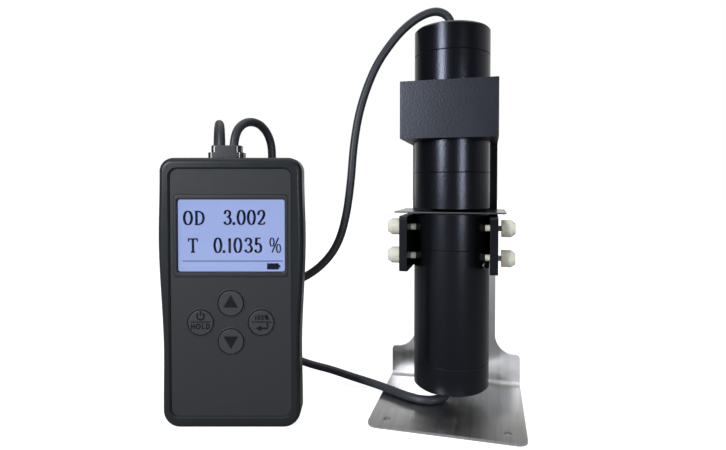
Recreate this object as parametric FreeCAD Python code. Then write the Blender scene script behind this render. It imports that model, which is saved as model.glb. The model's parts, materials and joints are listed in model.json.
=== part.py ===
import FreeCAD, Part
import math
import os

# Transmission densitometer: a hand-held meter wired to two light probes that face each other on a
# bench stand. The upper probe shines down, the film lies on the sample plate, and the lower probe
# measures what comes through.
#
# Millimetres. +X is the stand's right, +Y points away from the user and +Z is up. The origin is on
# the underside of the stand's foot, straight below the common axis of the two probes.

# ---------------------------------------------------------------- driving dimensions

# Light probes: two tubes of the same bore, each with an end cap, a barrel and a nose.
PROBE_RADIUS = 23.0
PROBE_WALL = 2.0
CAP_HEIGHT = 16.0
NOSE_HEIGHT = 21.7
UPPER_BARREL_LENGTH = 70.9
LOWER_BARREL_LENGTH = 69.3
LOWER_PROBE_BASE = 10.9
END_WALL = 3.0
SPIGOT_LENGTH = 6.0
SPIGOT_WALL = 2.0
SPIGOT_CLEARANCE = 0.05
SEAM_CHAMFER = 0.3
END_CHAMFER = 1.0
LOWER_NOSE_CHAMFER = 0.8

# Optics inside the probes.
LIGHT_APERTURE_RADIUS = 5.0
OPTIC_STEP = 3.05
LENS_RADIUS = 12.0
LENS_EDGE = 1.5
LENS_CROWN = 3.0
LENS_CROWN_RADIUS = 10.2
LENS_SEAT_HEIGHT = 8.0
LENS_POCKET_DEPTH = 5.0
OPTIC_CLEARANCE = 0.05
WINDOW_THICKNESS = 1.2
LENS_RING_WALL = 1.6
BOARD_THICKNESS = 1.6
LAMP_BOARD_RIM = 1.95
LAMP_HOLDER_THICKNESS = 4.0
LED_RADIUS = 3.5
LED_LENGTH = 6.0
SENSOR_APERTURE_RADIUS = 2.5
SENSOR_BORE_RADIUS = 8.0
OPAL_THICKNESS = 1.5
FILTER_THICKNESS = 2.5
FILTER_RING_HEIGHT = 2.0
FILTER_RING_WALL = 2.0
PHOTODIODE_RADIUS = 4.5
PHOTODIODE_HEIGHT = 2.8
PHOTODIODE_GAP = 0.2
SENSOR_BOARD_RIM = 0.95

# Sample plate: a bright sheet that sits round the light port of the lower probe.
SAMPLE_PLATE_WIDTH = 64.6
SAMPLE_PLATE_THICKNESS = 0.8
SAMPLE_PLATE_FRONT = 21.2
SAMPLE_SLOT = 1.6
PORT_RADIUS = 7.8
PORT_CLEARANCE = 0.2
SAMPLE_PLATE_CORNER = 1.0

# Stand: one bent steel sheet, a foot with a post behind the probes.
SHEET = 1.5
BEND_INNER_RADIUS = 2.0
FOOT_MARGIN = 15.3
FOOT_FRONT = 47.4
FOOT_CORNER = 5.5
FOOT_HOLE_SIDE = 10.0
FOOT_HOLE_RADIUS = 2.2
FOOT_HOLE_INSET = 9.1
SHOULDER_HEIGHT = 21.0
SHOULDER_CORNER = 2.5
SHOULDER_FILLET = 12.5
POST_SIDE_INSET = 0.7
POST_TOP_INSET = 4.2
POST_CORNER = 4.0

# Probe holder: a flat rail on the post, a block round the upper probe, two wings by the lower one.
RAIL_THICKNESS = 6.4
RAIL_GAP = 0.2
RAIL_CORNER = 1.5
BLOCK_FRONT_WALL = 5.3
BLOCK_RISE = 19.3
BLOCK_HEIGHT = 32.9
BLOCK_BORE_CLEARANCE = 0.02
BLOCK_THROAT_START = 12.0
BLOCK_EDGE = 0.8
WING_THICKNESS = 4.5
WING_GAP = 0.2
WING_REACH = 6.7
WING_TOP_DROP = 1.4
WING_HEIGHT = 32.3
WING_CORNER = 2.0
WING_EDGE = 0.4

# Screws of the holder, put in from behind through the post and the rail.
BLOCK_SCREW_RADIUS = 1.5
BLOCK_SCREW_HEAD = 2.75
BLOCK_SCREW_INSET = 4.5
BLOCK_SCREW_END_DISTANCE = 8.0
WING_SCREW_RADIUS = 1.25
WING_SCREW_HEAD = 2.1
WING_SCREW_COVER = 0.45
WING_SCREW_END_DISTANCE = 4.0
HOLDER_SCREW_GRIP = 9.0
HOLDER_SCREW_HEAD_HEIGHT = 1.8
SCREW_HOLE_CLEARANCE = 0.1

# Four white thumbscrews that clamp the lower probe between the wings.
THUMB_SCREW_RADIUS = 2.0
THUMB_FIT = 0.05
THUMB_FORWARD = 12.0
THUMB_END_DISTANCE = 7.4
THUMB_TIP_CLEARANCE = 0.03
THUMB_NECK_RADIUS = 1.6
THUMB_NECK_LENGTH = 1.9
THUMB_HEAD_RADIUS = 5.0
THUMB_HEAD_STRAIGHT = 5.4
THUMB_HEAD_TAPER = 2.5
THUMB_END_RADIUS = 3.3
THUMB_EDGE = 0.4

# Button-head screw that locks the lower probe's nose to its barrel.
LOCK_SCREW_ANGLE = -28.0
LOCK_SCREW_CLEARANCE = 0.5
LOCK_SCREW_END_DISTANCE = 3.0
LOCK_SCREW_HEAD = 2.4
LOCK_SCREW_HEAD_HEIGHT = 1.3
LOCK_SCREW_RADIUS = 1.5
LOCK_SCREW_LENGTH = 3.6

# Cords and the glands that they leave by.
CORD_DIAMETER = 5.0
GLAND_FLANGE_RADIUS = 5.0
GLAND_NECK_RADIUS = 3.4
GLAND_FLANGE = 1.2
GLAND_HOLE_CLEARANCE = 0.1
UPPER_GLAND_HEIGHT = 3.0
LOWER_GLAND_RECESS = 2.0
GLAND_INNER_FLANGE = 1.5
GLAND_BLIND_END = 1.5
CORD_SOCKET_CLEARANCE = 0.05

# Hand-held meter. It stands on its lower end beside the foot, with its face turned to the user.
METER_X = -114.4
METER_Y = -68.2
METER_TURN = 14.6
METER_HEIGHT = 149.5
CASE_RIM = 4.45
TOP_BULGE = 1.45
CHEST_BULGE = 2.25
CHEST_DROP = 45.5
WAIST_Z = 46.0
BASE_BULGE = 0.35
METER_TOP_CORNER = 7.7
METER_BASE_CORNER = 9.4
METER_WALL = 2.2
FRONT_SHELL_DEPTH = 13.0
FRONT_EDGE_RADIUS = 3.0
REAR_DRAFT = 3.0
REAR_EDGE_RADIUS = 3.0
BACK_WALL = 2.0

# Face of the meter.
FACE_SIDE_BAND = 1.9
FACE_BOTTOM = 6.5
FACE_TOP_MARGIN = 6.1
FACE_CORNER = 4.4
FACE_RECESS = 1.2
FACE_LIP = 0.8
FASCIA_THICKNESS = 0.8
FASCIA_CLEARANCE = 0.1
FACE_PLATE = 2.0
DISPLAY_DROP = 23.0
DISPLAY_HEIGHT = 39.9
DISPLAY_WIDTH = 59.0
BEZEL_MARGIN_SIDE = 1.9
BEZEL_MARGIN_END = 2.8
BEZEL_PROUD = 0.1
WINDOW_MARGIN = 1.5
METER_WINDOW_THICKNESS = 1.0
WINDOW_CLEARANCE = 0.1
LCD_MARGIN = 3.5
LCD_THICKNESS = 1.8
LCD_GAP = 0.3
LCD_FRAME_MARGIN = 4.5
LCD_FRAME_THICKNESS = 3.4
LCD_LEG = 3.0

# Keys, their mat and their switches.
KEY_RADIUS = 6.9
KEY_CLEARANCE = 0.35
KEY_PROUD = 0.6
KEY_EDGE = 0.5
KEY_FLANGE = 1.3
KEY_FLANGE_THICKNESS = 1.05
KEY_SEAT_GAP = 0.02
KEY_STEM = 0.98
KEY_STEM_RADIUS = 2.0
KEY_REST_GAP = 0.05
KEY_TRAVEL = 0.6
KEY_SIDE = 16.7
KEYPAD_GAP = 2.3
KEY_UP = 10.7
KEY_DOWN = 10.5
SWITCH_HEIGHT = 4.3
SWITCH_BODY_HEIGHT = 3.4
SWITCH_BODY_SIDE = 6.0
SWITCH_BUTTON_RADIUS = 1.7
MAT_HOLE_CLEARANCE = 0.05
MAT_GAP = 0.1
MAT_MARGIN = 10.5

# Board, bosses and case screws.
BOARD_SIDE_CLEARANCE = 1.6
BOARD_END_CLEARANCE = 5.5
BOARD_CORNER = 4.0
BOSS_SIDE_DISTANCE = 8.75
BOSS_END_DISTANCE = 11.2
BOSS_RADIUS = 3.2
REAR_BOSS_RADIUS = 4.2
CASE_SCREW_RADIUS = 1.25
CASE_SCREW_HEAD = 2.6
CASE_SCREW_HEAD_HEIGHT = 2.0
CASE_SCREW_SINK = 6.0
CASE_SCREW_FLOOR = 1.5
CHIP_SIDE = 10.0
CHIP_HEIGHT = 1.4
CONNECTOR_WIDTH = 8.0
CONNECTOR_HEIGHT = 6.0
CONNECTOR_DEPTH = 5.0

# Battery bay with four AAA cells, and its door, which tips out on two pins.
CELL_RADIUS = 5.25
CELL_LENGTH = 43.7
CELL_NUB_RADIUS = 1.9
CELL_NUB = 0.8
CELL_GAP = 0.3
CELL_COUNT = 4
BAY_CLEARANCE = 0.35
BAY_BOTTOM = 12.0
BAY_WALL = 1.4
BAY_BOARD_GAP = 2.45
SPRING_FREE = 3.1
SPRING_WIRE = 0.35
SPRING_RADIUS = 2.4
SPRING_TURNS = 2.5
CONTACT_THICKNESS = 0.4
DOOR_CLEARANCE = 0.2
DOOR_PIN_RADIUS = 0.6
DOOR_PIN_LENGTH = 1.1
DOOR_PIN_FIT = 0.05
DOOR_SILL_GAP = 0.3
GRIP_GROOVES = 5
GRIP_PITCH = 2.0
GRIP_WIDTH = 24.0
GRIP_DEPTH = 0.5

# Cable boot on top of the meter.
BOOT_X = -4.8
BOOT_STEP_WIDTH = 20.0
BOOT_STEP_DEPTH = 10.4
BOOT_STEP_HEIGHT = 3.3
BOOT_WIDTH = 17.0
BOOT_DEPTH = 8.6
BOOT_HEIGHT = 4.1
BOOT_NECK_WIDTH = 14.0
BOOT_NECK_DEPTH = 6.0
BOOT_CORNER = 2.8
BOOT_FLANGE = 1.6

# Routes of the two free cords, hand-placed points from the meter's boot to each probe's gland.
UPPER_CORD = [
    (-118.8, -55.9, 151.6), (-118.8, -55.9, 163.2), (-115.9, -47.9, 171.8),
    (-111.7, -36.5, 171.8), (-108.7, -28.5, 163.2), (-108.3, -26.8, 150.0),
    (-111.4, -26.1, 130.0), (-117.5, -27.2, 110.0), (-119.3, -27.6, 91.0),
    (-112.3, -26.8, 76.0), (-99.9, -24.6, 72.0), (-86.8, -22.3, 77.7), (-76.4, -19.9, 86.0),
    (-68.3, -17.8, 97.6), (-63.4, -16.7, 114.7), (-60.5, -16.0, 137.0), (-58.9, -15.7, 160.0),
    (-54.9, -14.7, 183.2), (-46.6, -12.5, 206.4), (-37.3, -9.8, 221.1), (-28.4, -7.4, 231.7),
    (-17.6, -4.6, 239.7), (-7.6, -2.0, 242.2), (0.0, 0.0, 236.2), (0.0, 0.0, 226.5),
]
LOWER_CORD = [
    (-125.8, -57.7, 151.6), (-125.8, -57.7, 163.1), (-130.1, -51.6, 170.6),
    (-136.2, -42.9, 170.6), (-140.5, -36.8, 163.1), (-141.7, -35.5, 148.0),
    (-141.7, -32.9, 126.0), (-136.4, -26.4, 106.0), (-126.5, -17.6, 90.0), (-119.3, -9.6, 72.0),
    (-118.0, -3.0, 54.0), (-119.2, 1.8, 37.0), (-116.6, 5.6, 22.5), (-109.1, 8.6, 13.0),
    (-97.6, 10.1, 9.2), (-81.7, 8.0, 7.9), (-65.5, 4.9, 5.6), (-50.0, 0.8, 4.4),
    (-36.8, -5.4, 4.05), (-25.6, -11.9, 4.05), (-15.6, -14.8, 4.05), (-7.4, -12.6, 4.05),
    (-2.0, -5.0, 4.05), (0.0, 0.0, 9.5), (0.0, 0.0, 17.2),
]
ARC_SHARE = 0.45

# ---------------------------------------------------------------- sizes worked out from them

LOWER_BARREL_BASE = LOWER_PROBE_BASE + CAP_HEIGHT
LOWER_NOSE_BASE = LOWER_BARREL_BASE + LOWER_BARREL_LENGTH
LOWER_NOSE_TOP = LOWER_NOSE_BASE + NOSE_HEIGHT
SAMPLE_TOP = LOWER_NOSE_TOP + SAMPLE_PLATE_THICKNESS
UPPER_NOSE_BASE = SAMPLE_TOP + SAMPLE_SLOT
UPPER_BARREL_BASE = UPPER_NOSE_BASE + NOSE_HEIGHT
UPPER_CAP_BASE = UPPER_BARREL_BASE + UPPER_BARREL_LENGTH
UPPER_PROBE_TOP = UPPER_CAP_BASE + CAP_HEIGHT
BARREL_BORE = PROBE_RADIUS - PROBE_WALL
SPIGOT_RADIUS = BARREL_BORE - SPIGOT_CLEARANCE
SPIGOT_BORE = SPIGOT_RADIUS - SPIGOT_WALL
GLAND_HOLE_RADIUS = GLAND_NECK_RADIUS + GLAND_HOLE_CLEARANCE
LAMP_BOARD_RADIUS = SPIGOT_BORE - LAMP_BOARD_RIM
SENSOR_BOARD_RADIUS = SPIGOT_BORE - SENSOR_BOARD_RIM
SENSOR_PLUG_HEIGHT = (END_WALL + OPAL_THICKNESS + FILTER_THICKNESS + FILTER_RING_HEIGHT
                      + PHOTODIODE_GAP + PHOTODIODE_HEIGHT)

RAIL_FRONT = PROBE_RADIUS + RAIL_GAP
POST_FRONT = RAIL_FRONT + RAIL_THICKNESS
POST_BACK = POST_FRONT + SHEET
WING_INNER = PROBE_RADIUS + WING_GAP
HOLDER_HALF = WING_INNER + WING_THICKNESS
POST_HALF = HOLDER_HALF - POST_SIDE_INSET
FOOT_HALF = HOLDER_HALF + FOOT_MARGIN
FOOT_HOLE_X = FOOT_HALF - FOOT_HOLE_SIDE
BLOCK_FRONT = PROBE_RADIUS + BLOCK_FRONT_WALL
BLOCK_BOTTOM = UPPER_BARREL_BASE + BLOCK_RISE
BLOCK_TOP = BLOCK_BOTTOM + BLOCK_HEIGHT
POST_TOP = BLOCK_TOP - POST_TOP_INSET
WING_FRONT = PROBE_RADIUS + WING_REACH
WING_TOP = LOWER_NOSE_TOP - WING_TOP_DROP
WING_BOTTOM = WING_TOP - WING_HEIGHT
WING_SCREW_INSET = WING_THICKNESS - WING_SCREW_RADIUS - WING_SCREW_COVER
THUMB_LOW = WING_BOTTOM + THUMB_END_DISTANCE
THUMB_HIGH = WING_TOP - THUMB_END_DISTANCE
LOCK_SCREW_Z = THUMB_LOW - THUMB_SCREW_RADIUS - LOCK_SCREW_CLEARANCE - LOCK_SCREW_HEAD
LOWER_SPIGOT_BASE = LOCK_SCREW_Z - LOCK_SCREW_END_DISTANCE
THUMB_TIP_RADIUS = THUMB_SCREW_RADIUS - THUMB_EDGE
THUMB_REACH = math.sqrt(PROBE_RADIUS ** 2 - (THUMB_FORWARD - THUMB_TIP_RADIUS) ** 2)
THUMB_TIP = THUMB_REACH + THUMB_TIP_CLEARANCE

FACE_WIDTH = DISPLAY_WIDTH + 2 * (BEZEL_MARGIN_SIDE + FACE_SIDE_BAND)
FACE_TOP = METER_HEIGHT - FACE_TOP_MARGIN
METER_WAIST_HALF = FACE_WIDTH / 2 + CASE_RIM
METER_TOP_HALF = METER_WAIST_HALF + TOP_BULGE
METER_CHEST_HALF = METER_WAIST_HALF + CHEST_BULGE
METER_CHEST_Z = METER_HEIGHT - CHEST_DROP
METER_BASE_HALF = METER_WAIST_HALF + BASE_BULGE
DISPLAY_TOP = METER_HEIGHT - DISPLAY_DROP
DISPLAY_BOTTOM = DISPLAY_TOP - DISPLAY_HEIGHT
KEY_MIDDLE_Z = DISPLAY_BOTTOM - LCD_FRAME_MARGIN - KEYPAD_GAP - MAT_MARGIN - KEY_UP

FASCIA_BACK = FACE_RECESS + FASCIA_THICKNESS
PLATE_BACK = FASCIA_BACK + FACE_PLATE
WINDOW_FRONT = PLATE_BACK - METER_WINDOW_THICKNESS
LCD_FRONT = PLATE_BACK + LCD_GAP
LCD_BACK = LCD_FRONT + LCD_THICKNESS
LCD_FRAME_BACK = LCD_BACK + LCD_FRAME_THICKNESS
KEY_FRONT = FACE_RECESS - KEY_PROUD
KEY_FLANGE_FRONT = PLATE_BACK + KEY_SEAT_GAP
KEY_FLANGE_BACK = KEY_FLANGE_FRONT + KEY_FLANGE_THICKNESS
KEY_STEM_BACK = KEY_FLANGE_BACK + KEY_STEM
SWITCH_FRONT = KEY_STEM_BACK + KEY_TRAVEL + KEY_REST_GAP
BOARD_FRONT = SWITCH_FRONT + SWITCH_HEIGHT
SWITCH_BODY_FRONT = BOARD_FRONT - SWITCH_BODY_HEIGHT
MAT_FRONT = KEY_FLANGE_BACK + KEY_TRAVEL + MAT_GAP
BOARD_BACK = BOARD_FRONT + BOARD_THICKNESS
CASE_SCREW_END = PLATE_BACK + CASE_SCREW_FLOOR
BOSS_X = METER_WAIST_HALF - BOSS_SIDE_DISTANCE
BOSS_HEIGHTS = (BOSS_END_DISTANCE, METER_HEIGHT - BOSS_END_DISTANCE)

BAY_FRONT = BOARD_BACK + BAY_BOARD_GAP + BAY_WALL
CELL_Y = BAY_FRONT + BAY_CLEARANCE + CELL_RADIUS
BACK_INNER = CELL_Y + CELL_RADIUS + BAY_CLEARANCE * 2
METER_DEPTH = BACK_INNER + BACK_WALL
SCREW_SEAT = METER_DEPTH - CASE_SCREW_SINK
CELL_PITCH = 2 * CELL_RADIUS + CELL_GAP
BAY_HALF = CELL_PITCH * CELL_COUNT / 2 + BAY_CLEARANCE
BAY_HEIGHT = 2 * CONTACT_THICKNESS + SPRING_FREE + CELL_LENGTH + CELL_NUB
BAY_TOP = BAY_BOTTOM + BAY_HEIGHT
DOOR_PIVOT_Y = METER_DEPTH - BACK_WALL / 2
DOOR_ROUND = BACK_WALL / 2
DOOR_PIVOT_Z = BAY_BOTTOM + DOOR_ROUND + DOOR_SILL_GAP
DOOR_HALF = BAY_HALF - DOOR_CLEARANCE
DOOR_TOP = BAY_TOP - DOOR_CLEARANCE
BOOT_TOP = METER_HEIGHT + BOOT_STEP_HEIGHT + BOOT_HEIGHT

KEY_PLACES = {
    "key_up": (0.0, KEY_MIDDLE_Z + KEY_UP),
    "key_down": (0.0, KEY_MIDDLE_Z - KEY_DOWN),
    "key_power_hold": (-KEY_SIDE, KEY_MIDDLE_Z),
    "key_enter": (KEY_SIDE, KEY_MIDDLE_Z),
}

AXIS_X = FreeCAD.Vector(1, 0, 0)
AXIS_Y = FreeCAD.Vector(0, 1, 0)
AXIS_Z = FreeCAD.Vector(0, 0, 1)
METER_PLACE = FreeCAD.Placement(
    FreeCAD.Vector(METER_X, METER_Y, 0), FreeCAD.Rotation(AXIS_Z, METER_TURN))

parts = {}


# ---------------------------------------------------------------- small helpers

def vec(x, y, z):
    return FreeCAD.Vector(x, y, z)


def box(x0, x1, y0, y1, z0, z1):
    return Part.makeBox(x1 - x0, y1 - y0, z1 - z0, vec(x0, y0, z0))


def tube(radius, z0, z1, bore=0.0, x=0.0, y=0.0):
    """Upright cylinder, hollow when bore is given."""
    solid = Part.makeCylinder(radius, z1 - z0, vec(x, y, z0), AXIS_Z)
    if bore > 0:
        solid = solid.cut(Part.makeCylinder(bore, z1 - z0, vec(x, y, z0), AXIS_Z))
    return solid


def rod_x(radius, x0, x1, y, z):
    return Part.makeCylinder(radius, x1 - x0, vec(x0, y, z), AXIS_X)


def rod_y(radius, y0, y1, x, z):
    return Part.makeCylinder(radius, y1 - y0, vec(x, y0, z), AXIS_Y)


def revolved(profile, centre, axis):
    """Solid of revolution of a closed polygon given as points."""
    face = Part.Face(Part.makePolygon(profile + profile[:1]))
    return face.revolve(centre, axis, 360)


def rounded_wire(half_x, z0, z1, radius, y):
    """Closed rounded rectangle in the plane of constant y, centred on x = 0."""
    plate = box(-half_x, half_x, y, y + 1, z0, z1)
    upright = [e for e in plate.Edges if abs(e.tangentAt(e.FirstParameter).y) > 0.9]
    plate = plate.makeFillet(radius, upright)
    near = min(plate.Faces, key=lambda f: f.CenterOfMass.y)
    return near.OuterWire


def rounded_block(half_x, z0, z1, radius, y0, y1):
    return Part.Face(rounded_wire(half_x, z0, z1, radius, y0)).extrude(vec(0, y1 - y0, 0))


def upright_block(half_x, half_y, radius, y, z0, z1, x=0.0):
    """Block with rounded upright edges."""
    solid = box(x - half_x, x + half_x, y - half_y, y + half_y, z0, z1)
    return rounded_edges(solid, radius, lambda e: abs(e.tangentAt(e.FirstParameter).z) > 0.9)


def rounded_edges(solid, radius, wanted):
    return solid.makeFillet(radius, [e for e in solid.Edges if wanted(e)])


def chamfered(solid, size, z, radius):
    """Chamfer the outer circular edge of the given radius at height z."""
    rims = [e for e in solid.Edges
            if e.Closed and abs(e.BoundBox.ZMax - z) < 1e-6 and abs(e.BoundBox.ZMin - z) < 1e-6
            and abs(e.BoundBox.XLength / 2 - radius) < 1e-3]
    return solid.makeChamfer(size, rims)


def together(shapes):
    """Separate solids that share one node."""
    return Part.makeCompound(shapes)


def in_meter(shape):
    """Move a shape from the meter's own frame to where the meter stands."""
    placed = shape.copy()
    placed.Placement = METER_PLACE.multiply(placed.Placement)
    return placed


# ---------------------------------------------------------------- light probes

def make_upper_probe():
    cap = tube(PROBE_RADIUS, UPPER_CAP_BASE, UPPER_PROBE_TOP, BARREL_BORE)
    cap = cap.fuse(tube(BARREL_BORE, UPPER_PROBE_TOP - END_WALL, UPPER_PROBE_TOP))
    cap = cap.fuse(tube(SPIGOT_RADIUS, UPPER_CAP_BASE - SPIGOT_LENGTH, UPPER_PROBE_TOP - END_WALL,
                        SPIGOT_BORE))
    cap = cap.cut(tube(GLAND_HOLE_RADIUS, UPPER_PROBE_TOP - END_WALL, UPPER_PROBE_TOP))
    cap = chamfered(cap.removeSplitter(), END_CHAMFER, UPPER_PROBE_TOP, PROBE_RADIUS)
    parts["upper_end_cap"] = chamfered(cap, SEAM_CHAMFER, UPPER_CAP_BASE, PROBE_RADIUS)

    barrel = tube(PROBE_RADIUS, UPPER_BARREL_BASE, UPPER_CAP_BASE, BARREL_BORE)
    barrel = chamfered(barrel, SEAM_CHAMFER, UPPER_CAP_BASE, PROBE_RADIUS)
    parts["upper_barrel"] = chamfered(barrel, SEAM_CHAMFER, UPPER_BARREL_BASE, PROBE_RADIUS)

    lens_seat = UPPER_NOSE_BASE + LENS_SEAT_HEIGHT
    pocket_top = lens_seat + LENS_POCKET_DEPTH
    step_bore = LENS_RADIUS - OPTIC_STEP
    nose = tube(PROBE_RADIUS, UPPER_NOSE_BASE, UPPER_BARREL_BASE)
    nose = nose.fuse(tube(SPIGOT_RADIUS, UPPER_BARREL_BASE, UPPER_BARREL_BASE + SPIGOT_LENGTH))
    nose = nose.cut(tube(SPIGOT_BORE, pocket_top, UPPER_BARREL_BASE + SPIGOT_LENGTH))
    nose = nose.cut(tube(LENS_RADIUS + OPTIC_CLEARANCE, lens_seat, pocket_top))
    nose = nose.cut(tube(step_bore, UPPER_NOSE_BASE + END_WALL, lens_seat))
    nose = nose.cut(tube(LIGHT_APERTURE_RADIUS, UPPER_NOSE_BASE, UPPER_NOSE_BASE + END_WALL))
    nose = chamfered(nose.removeSplitter(), SEAM_CHAMFER, UPPER_BARREL_BASE, PROBE_RADIUS)
    parts["upper_nose"] = chamfered(nose, SEAM_CHAMFER, UPPER_NOSE_BASE, PROBE_RADIUS)

    window_base = UPPER_NOSE_BASE + END_WALL
    parts["exit_window"] = tube(step_bore - OPTIC_CLEARANCE, window_base,
                                window_base + WINDOW_THICKNESS)
    lens_top = lens_seat + LENS_EDGE
    sphere_radius = (LENS_CROWN_RADIUS ** 2 + LENS_CROWN ** 2) / (2 * LENS_CROWN)
    ball = Part.makeSphere(sphere_radius, vec(0, 0, lens_top + LENS_CROWN - sphere_radius))
    crown = ball.common(tube(LENS_RADIUS, lens_top, lens_top + LENS_CROWN))
    parts["collimator_lens"] = tube(LENS_RADIUS, lens_seat, lens_top).fuse(crown)
    parts["lens_ring"] = tube(LENS_RADIUS, lens_top, pocket_top, LENS_RADIUS - LENS_RING_WALL)

    holder_base = UPPER_BARREL_BASE + SPIGOT_LENGTH
    parts["lamp_holder"] = tube(SPIGOT_RADIUS, holder_base, holder_base + LAMP_HOLDER_THICKNESS,
                                LED_RADIUS)
    board_base = holder_base - BOARD_THICKNESS
    parts["lamp_board"] = tube(LAMP_BOARD_RADIUS, board_base, holder_base)
    dome_centre = board_base - LED_LENGTH + LED_RADIUS
    dome = Part.makeSphere(LED_RADIUS, vec(0, 0, dome_centre))
    dome = dome.common(tube(LED_RADIUS, board_base - LED_LENGTH, dome_centre))
    parts["lamp_led"] = tube(LED_RADIUS, dome_centre, board_base).fuse(dome).removeSplitter()


def make_lower_probe():
    cap = tube(PROBE_RADIUS, LOWER_PROBE_BASE, LOWER_BARREL_BASE, BARREL_BORE)
    cap = cap.fuse(tube(BARREL_BORE, LOWER_PROBE_BASE, LOWER_PROBE_BASE + END_WALL))
    cap = cap.fuse(tube(SPIGOT_RADIUS, LOWER_PROBE_BASE + END_WALL,
                        LOWER_BARREL_BASE + SPIGOT_LENGTH, SPIGOT_BORE))
    cap = cap.cut(tube(GLAND_HOLE_RADIUS, LOWER_PROBE_BASE, LOWER_PROBE_BASE + END_WALL))
    cap = chamfered(cap.removeSplitter(), END_CHAMFER, LOWER_PROBE_BASE, PROBE_RADIUS)
    parts["lower_end_cap"] = chamfered(cap, SEAM_CHAMFER, LOWER_BARREL_BASE, PROBE_RADIUS)

    barrel = tube(PROBE_RADIUS, LOWER_BARREL_BASE, LOWER_NOSE_BASE, BARREL_BORE)
    barrel = chamfered(barrel, SEAM_CHAMFER, LOWER_NOSE_BASE, PROBE_RADIUS)
    barrel = chamfered(barrel, SEAM_CHAMFER, LOWER_BARREL_BASE, PROBE_RADIUS)
    barrel = barrel.cut(lock_screw_shape(LOCK_SCREW_RADIUS + SPIGOT_CLEARANCE, 0))

    plug_base = LOWER_NOSE_TOP - SENSOR_PLUG_HEIGHT
    nose = tube(PROBE_RADIUS, LOWER_NOSE_BASE, LOWER_NOSE_TOP)
    nose = nose.fuse(tube(SPIGOT_RADIUS, LOWER_SPIGOT_BASE, LOWER_NOSE_BASE))
    nose = nose.cut(tube(SPIGOT_BORE, LOWER_SPIGOT_BASE, plug_base))
    nose = nose.fuse(tube(PORT_RADIUS, LOWER_NOSE_TOP, SAMPLE_TOP))
    nose = nose.cut(tube(SENSOR_BORE_RADIUS + OPTIC_CLEARANCE, plug_base,
                         LOWER_NOSE_TOP - END_WALL))
    nose = nose.cut(tube(SENSOR_APERTURE_RADIUS, LOWER_NOSE_TOP - END_WALL, SAMPLE_TOP))
    nose = chamfered(nose.removeSplitter(), LOWER_NOSE_CHAMFER, LOWER_NOSE_TOP, PROBE_RADIUS)
    nose = chamfered(nose, SEAM_CHAMFER, LOWER_NOSE_BASE, PROBE_RADIUS)
    parts["lower_barrel"] = barrel
    parts["lower_nose"] = nose.cut(lock_screw_shape(LOCK_SCREW_RADIUS, 0))
    head = lock_screw_shape(LOCK_SCREW_HEAD, LOCK_SCREW_HEAD_HEIGHT)
    parts["nose_lock_screw"] = head.fuse(lock_screw_shape(LOCK_SCREW_RADIUS, 0))

    opal_top = LOWER_NOSE_TOP - END_WALL
    filter_top = opal_top - OPAL_THICKNESS
    ring_top = filter_top - FILTER_THICKNESS
    parts["opal_window"] = tube(SENSOR_BORE_RADIUS, filter_top, opal_top)
    parts["colour_filter"] = tube(SENSOR_BORE_RADIUS, ring_top, filter_top)
    parts["filter_ring"] = tube(SENSOR_BORE_RADIUS, ring_top - FILTER_RING_HEIGHT, ring_top,
                                SENSOR_BORE_RADIUS - FILTER_RING_WALL)
    parts["photodiode"] = tube(PHOTODIODE_RADIUS, plug_base, plug_base + PHOTODIODE_HEIGHT)
    parts["sensor_board"] = tube(SENSOR_BOARD_RADIUS, plug_base - BOARD_THICKNESS, plug_base)


def lock_screw_shape(radius, head_height):
    """Radial rod of the nose's lock screw; with a head height, its flattened button head."""
    z = LOCK_SCREW_Z
    angle = math.radians(LOCK_SCREW_ANGLE)
    outward = vec(math.cos(angle), math.sin(angle), 0)
    if head_height == 0:
        start = PROBE_RADIUS - LOCK_SCREW_LENGTH
        return Part.makeCylinder(radius, LOCK_SCREW_LENGTH, outward * start + vec(0, 0, z), outward)
    seat = PROBE_RADIUS - SEAM_CHAMFER / 2
    head = Part.makeCylinder(radius, head_height, outward * seat + vec(0, 0, z), outward)
    outer = [e for e in head.Edges if e.Closed and e.CenterOfMass.dot(outward) > seat + head_height / 2]
    head = head.makeFillet(head_height * 0.75, outer)
    return head.cut(tube(PROBE_RADIUS, z - radius * 2, z + radius * 2))


def make_gland(base, inward, height, cord_end):
    """Rubber gland in an end cap; inward is +1 when the probe's inside lies above the base.

    A negative height lets the gland into the end wall, so that the cord can bend sooner.
    """
    outer_end = base - inward * height
    neck_end = cord_end + inward * GLAND_BLIND_END
    seat = base + inward * END_WALL
    flange_end = seat + inward * GLAND_INNER_FLANGE
    gland = tube(GLAND_NECK_RADIUS, min(outer_end, neck_end), max(outer_end, neck_end))
    gland = gland.fuse(tube(GLAND_FLANGE_RADIUS, min(seat, flange_end), max(seat, flange_end)))
    if height > 0:
        rim_end = base - inward * min(GLAND_FLANGE, height)
        gland = gland.fuse(tube(GLAND_FLANGE_RADIUS, min(base, rim_end), max(base, rim_end)))
    return gland.removeSplitter().cut(cord_socket(0, 0, cord_end, outer_end))


def cord_socket(x, y, end, mouth):
    """Blind hole that a cord's end fills, from the cord's end to the mouth."""
    return tube(CORD_DIAMETER / 2 + CORD_SOCKET_CLEARANCE, min(end, mouth), max(end, mouth),
                x=x, y=y)


def make_sample_plate():
    half = SAMPLE_PLATE_WIDTH / 2
    plate = box(-half, half, -SAMPLE_PLATE_FRONT, RAIL_FRONT, LOWER_NOSE_TOP, SAMPLE_TOP)
    plate = rounded_edges(plate, SAMPLE_PLATE_CORNER,
                          lambda e: abs(e.tangentAt(e.FirstParameter).z) > 0.9)
    parts["sample_plate"] = plate.cut(tube(PORT_RADIUS + PORT_CLEARANCE, LOWER_NOSE_TOP, SAMPLE_TOP))


# ---------------------------------------------------------------- stand and holder

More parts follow.
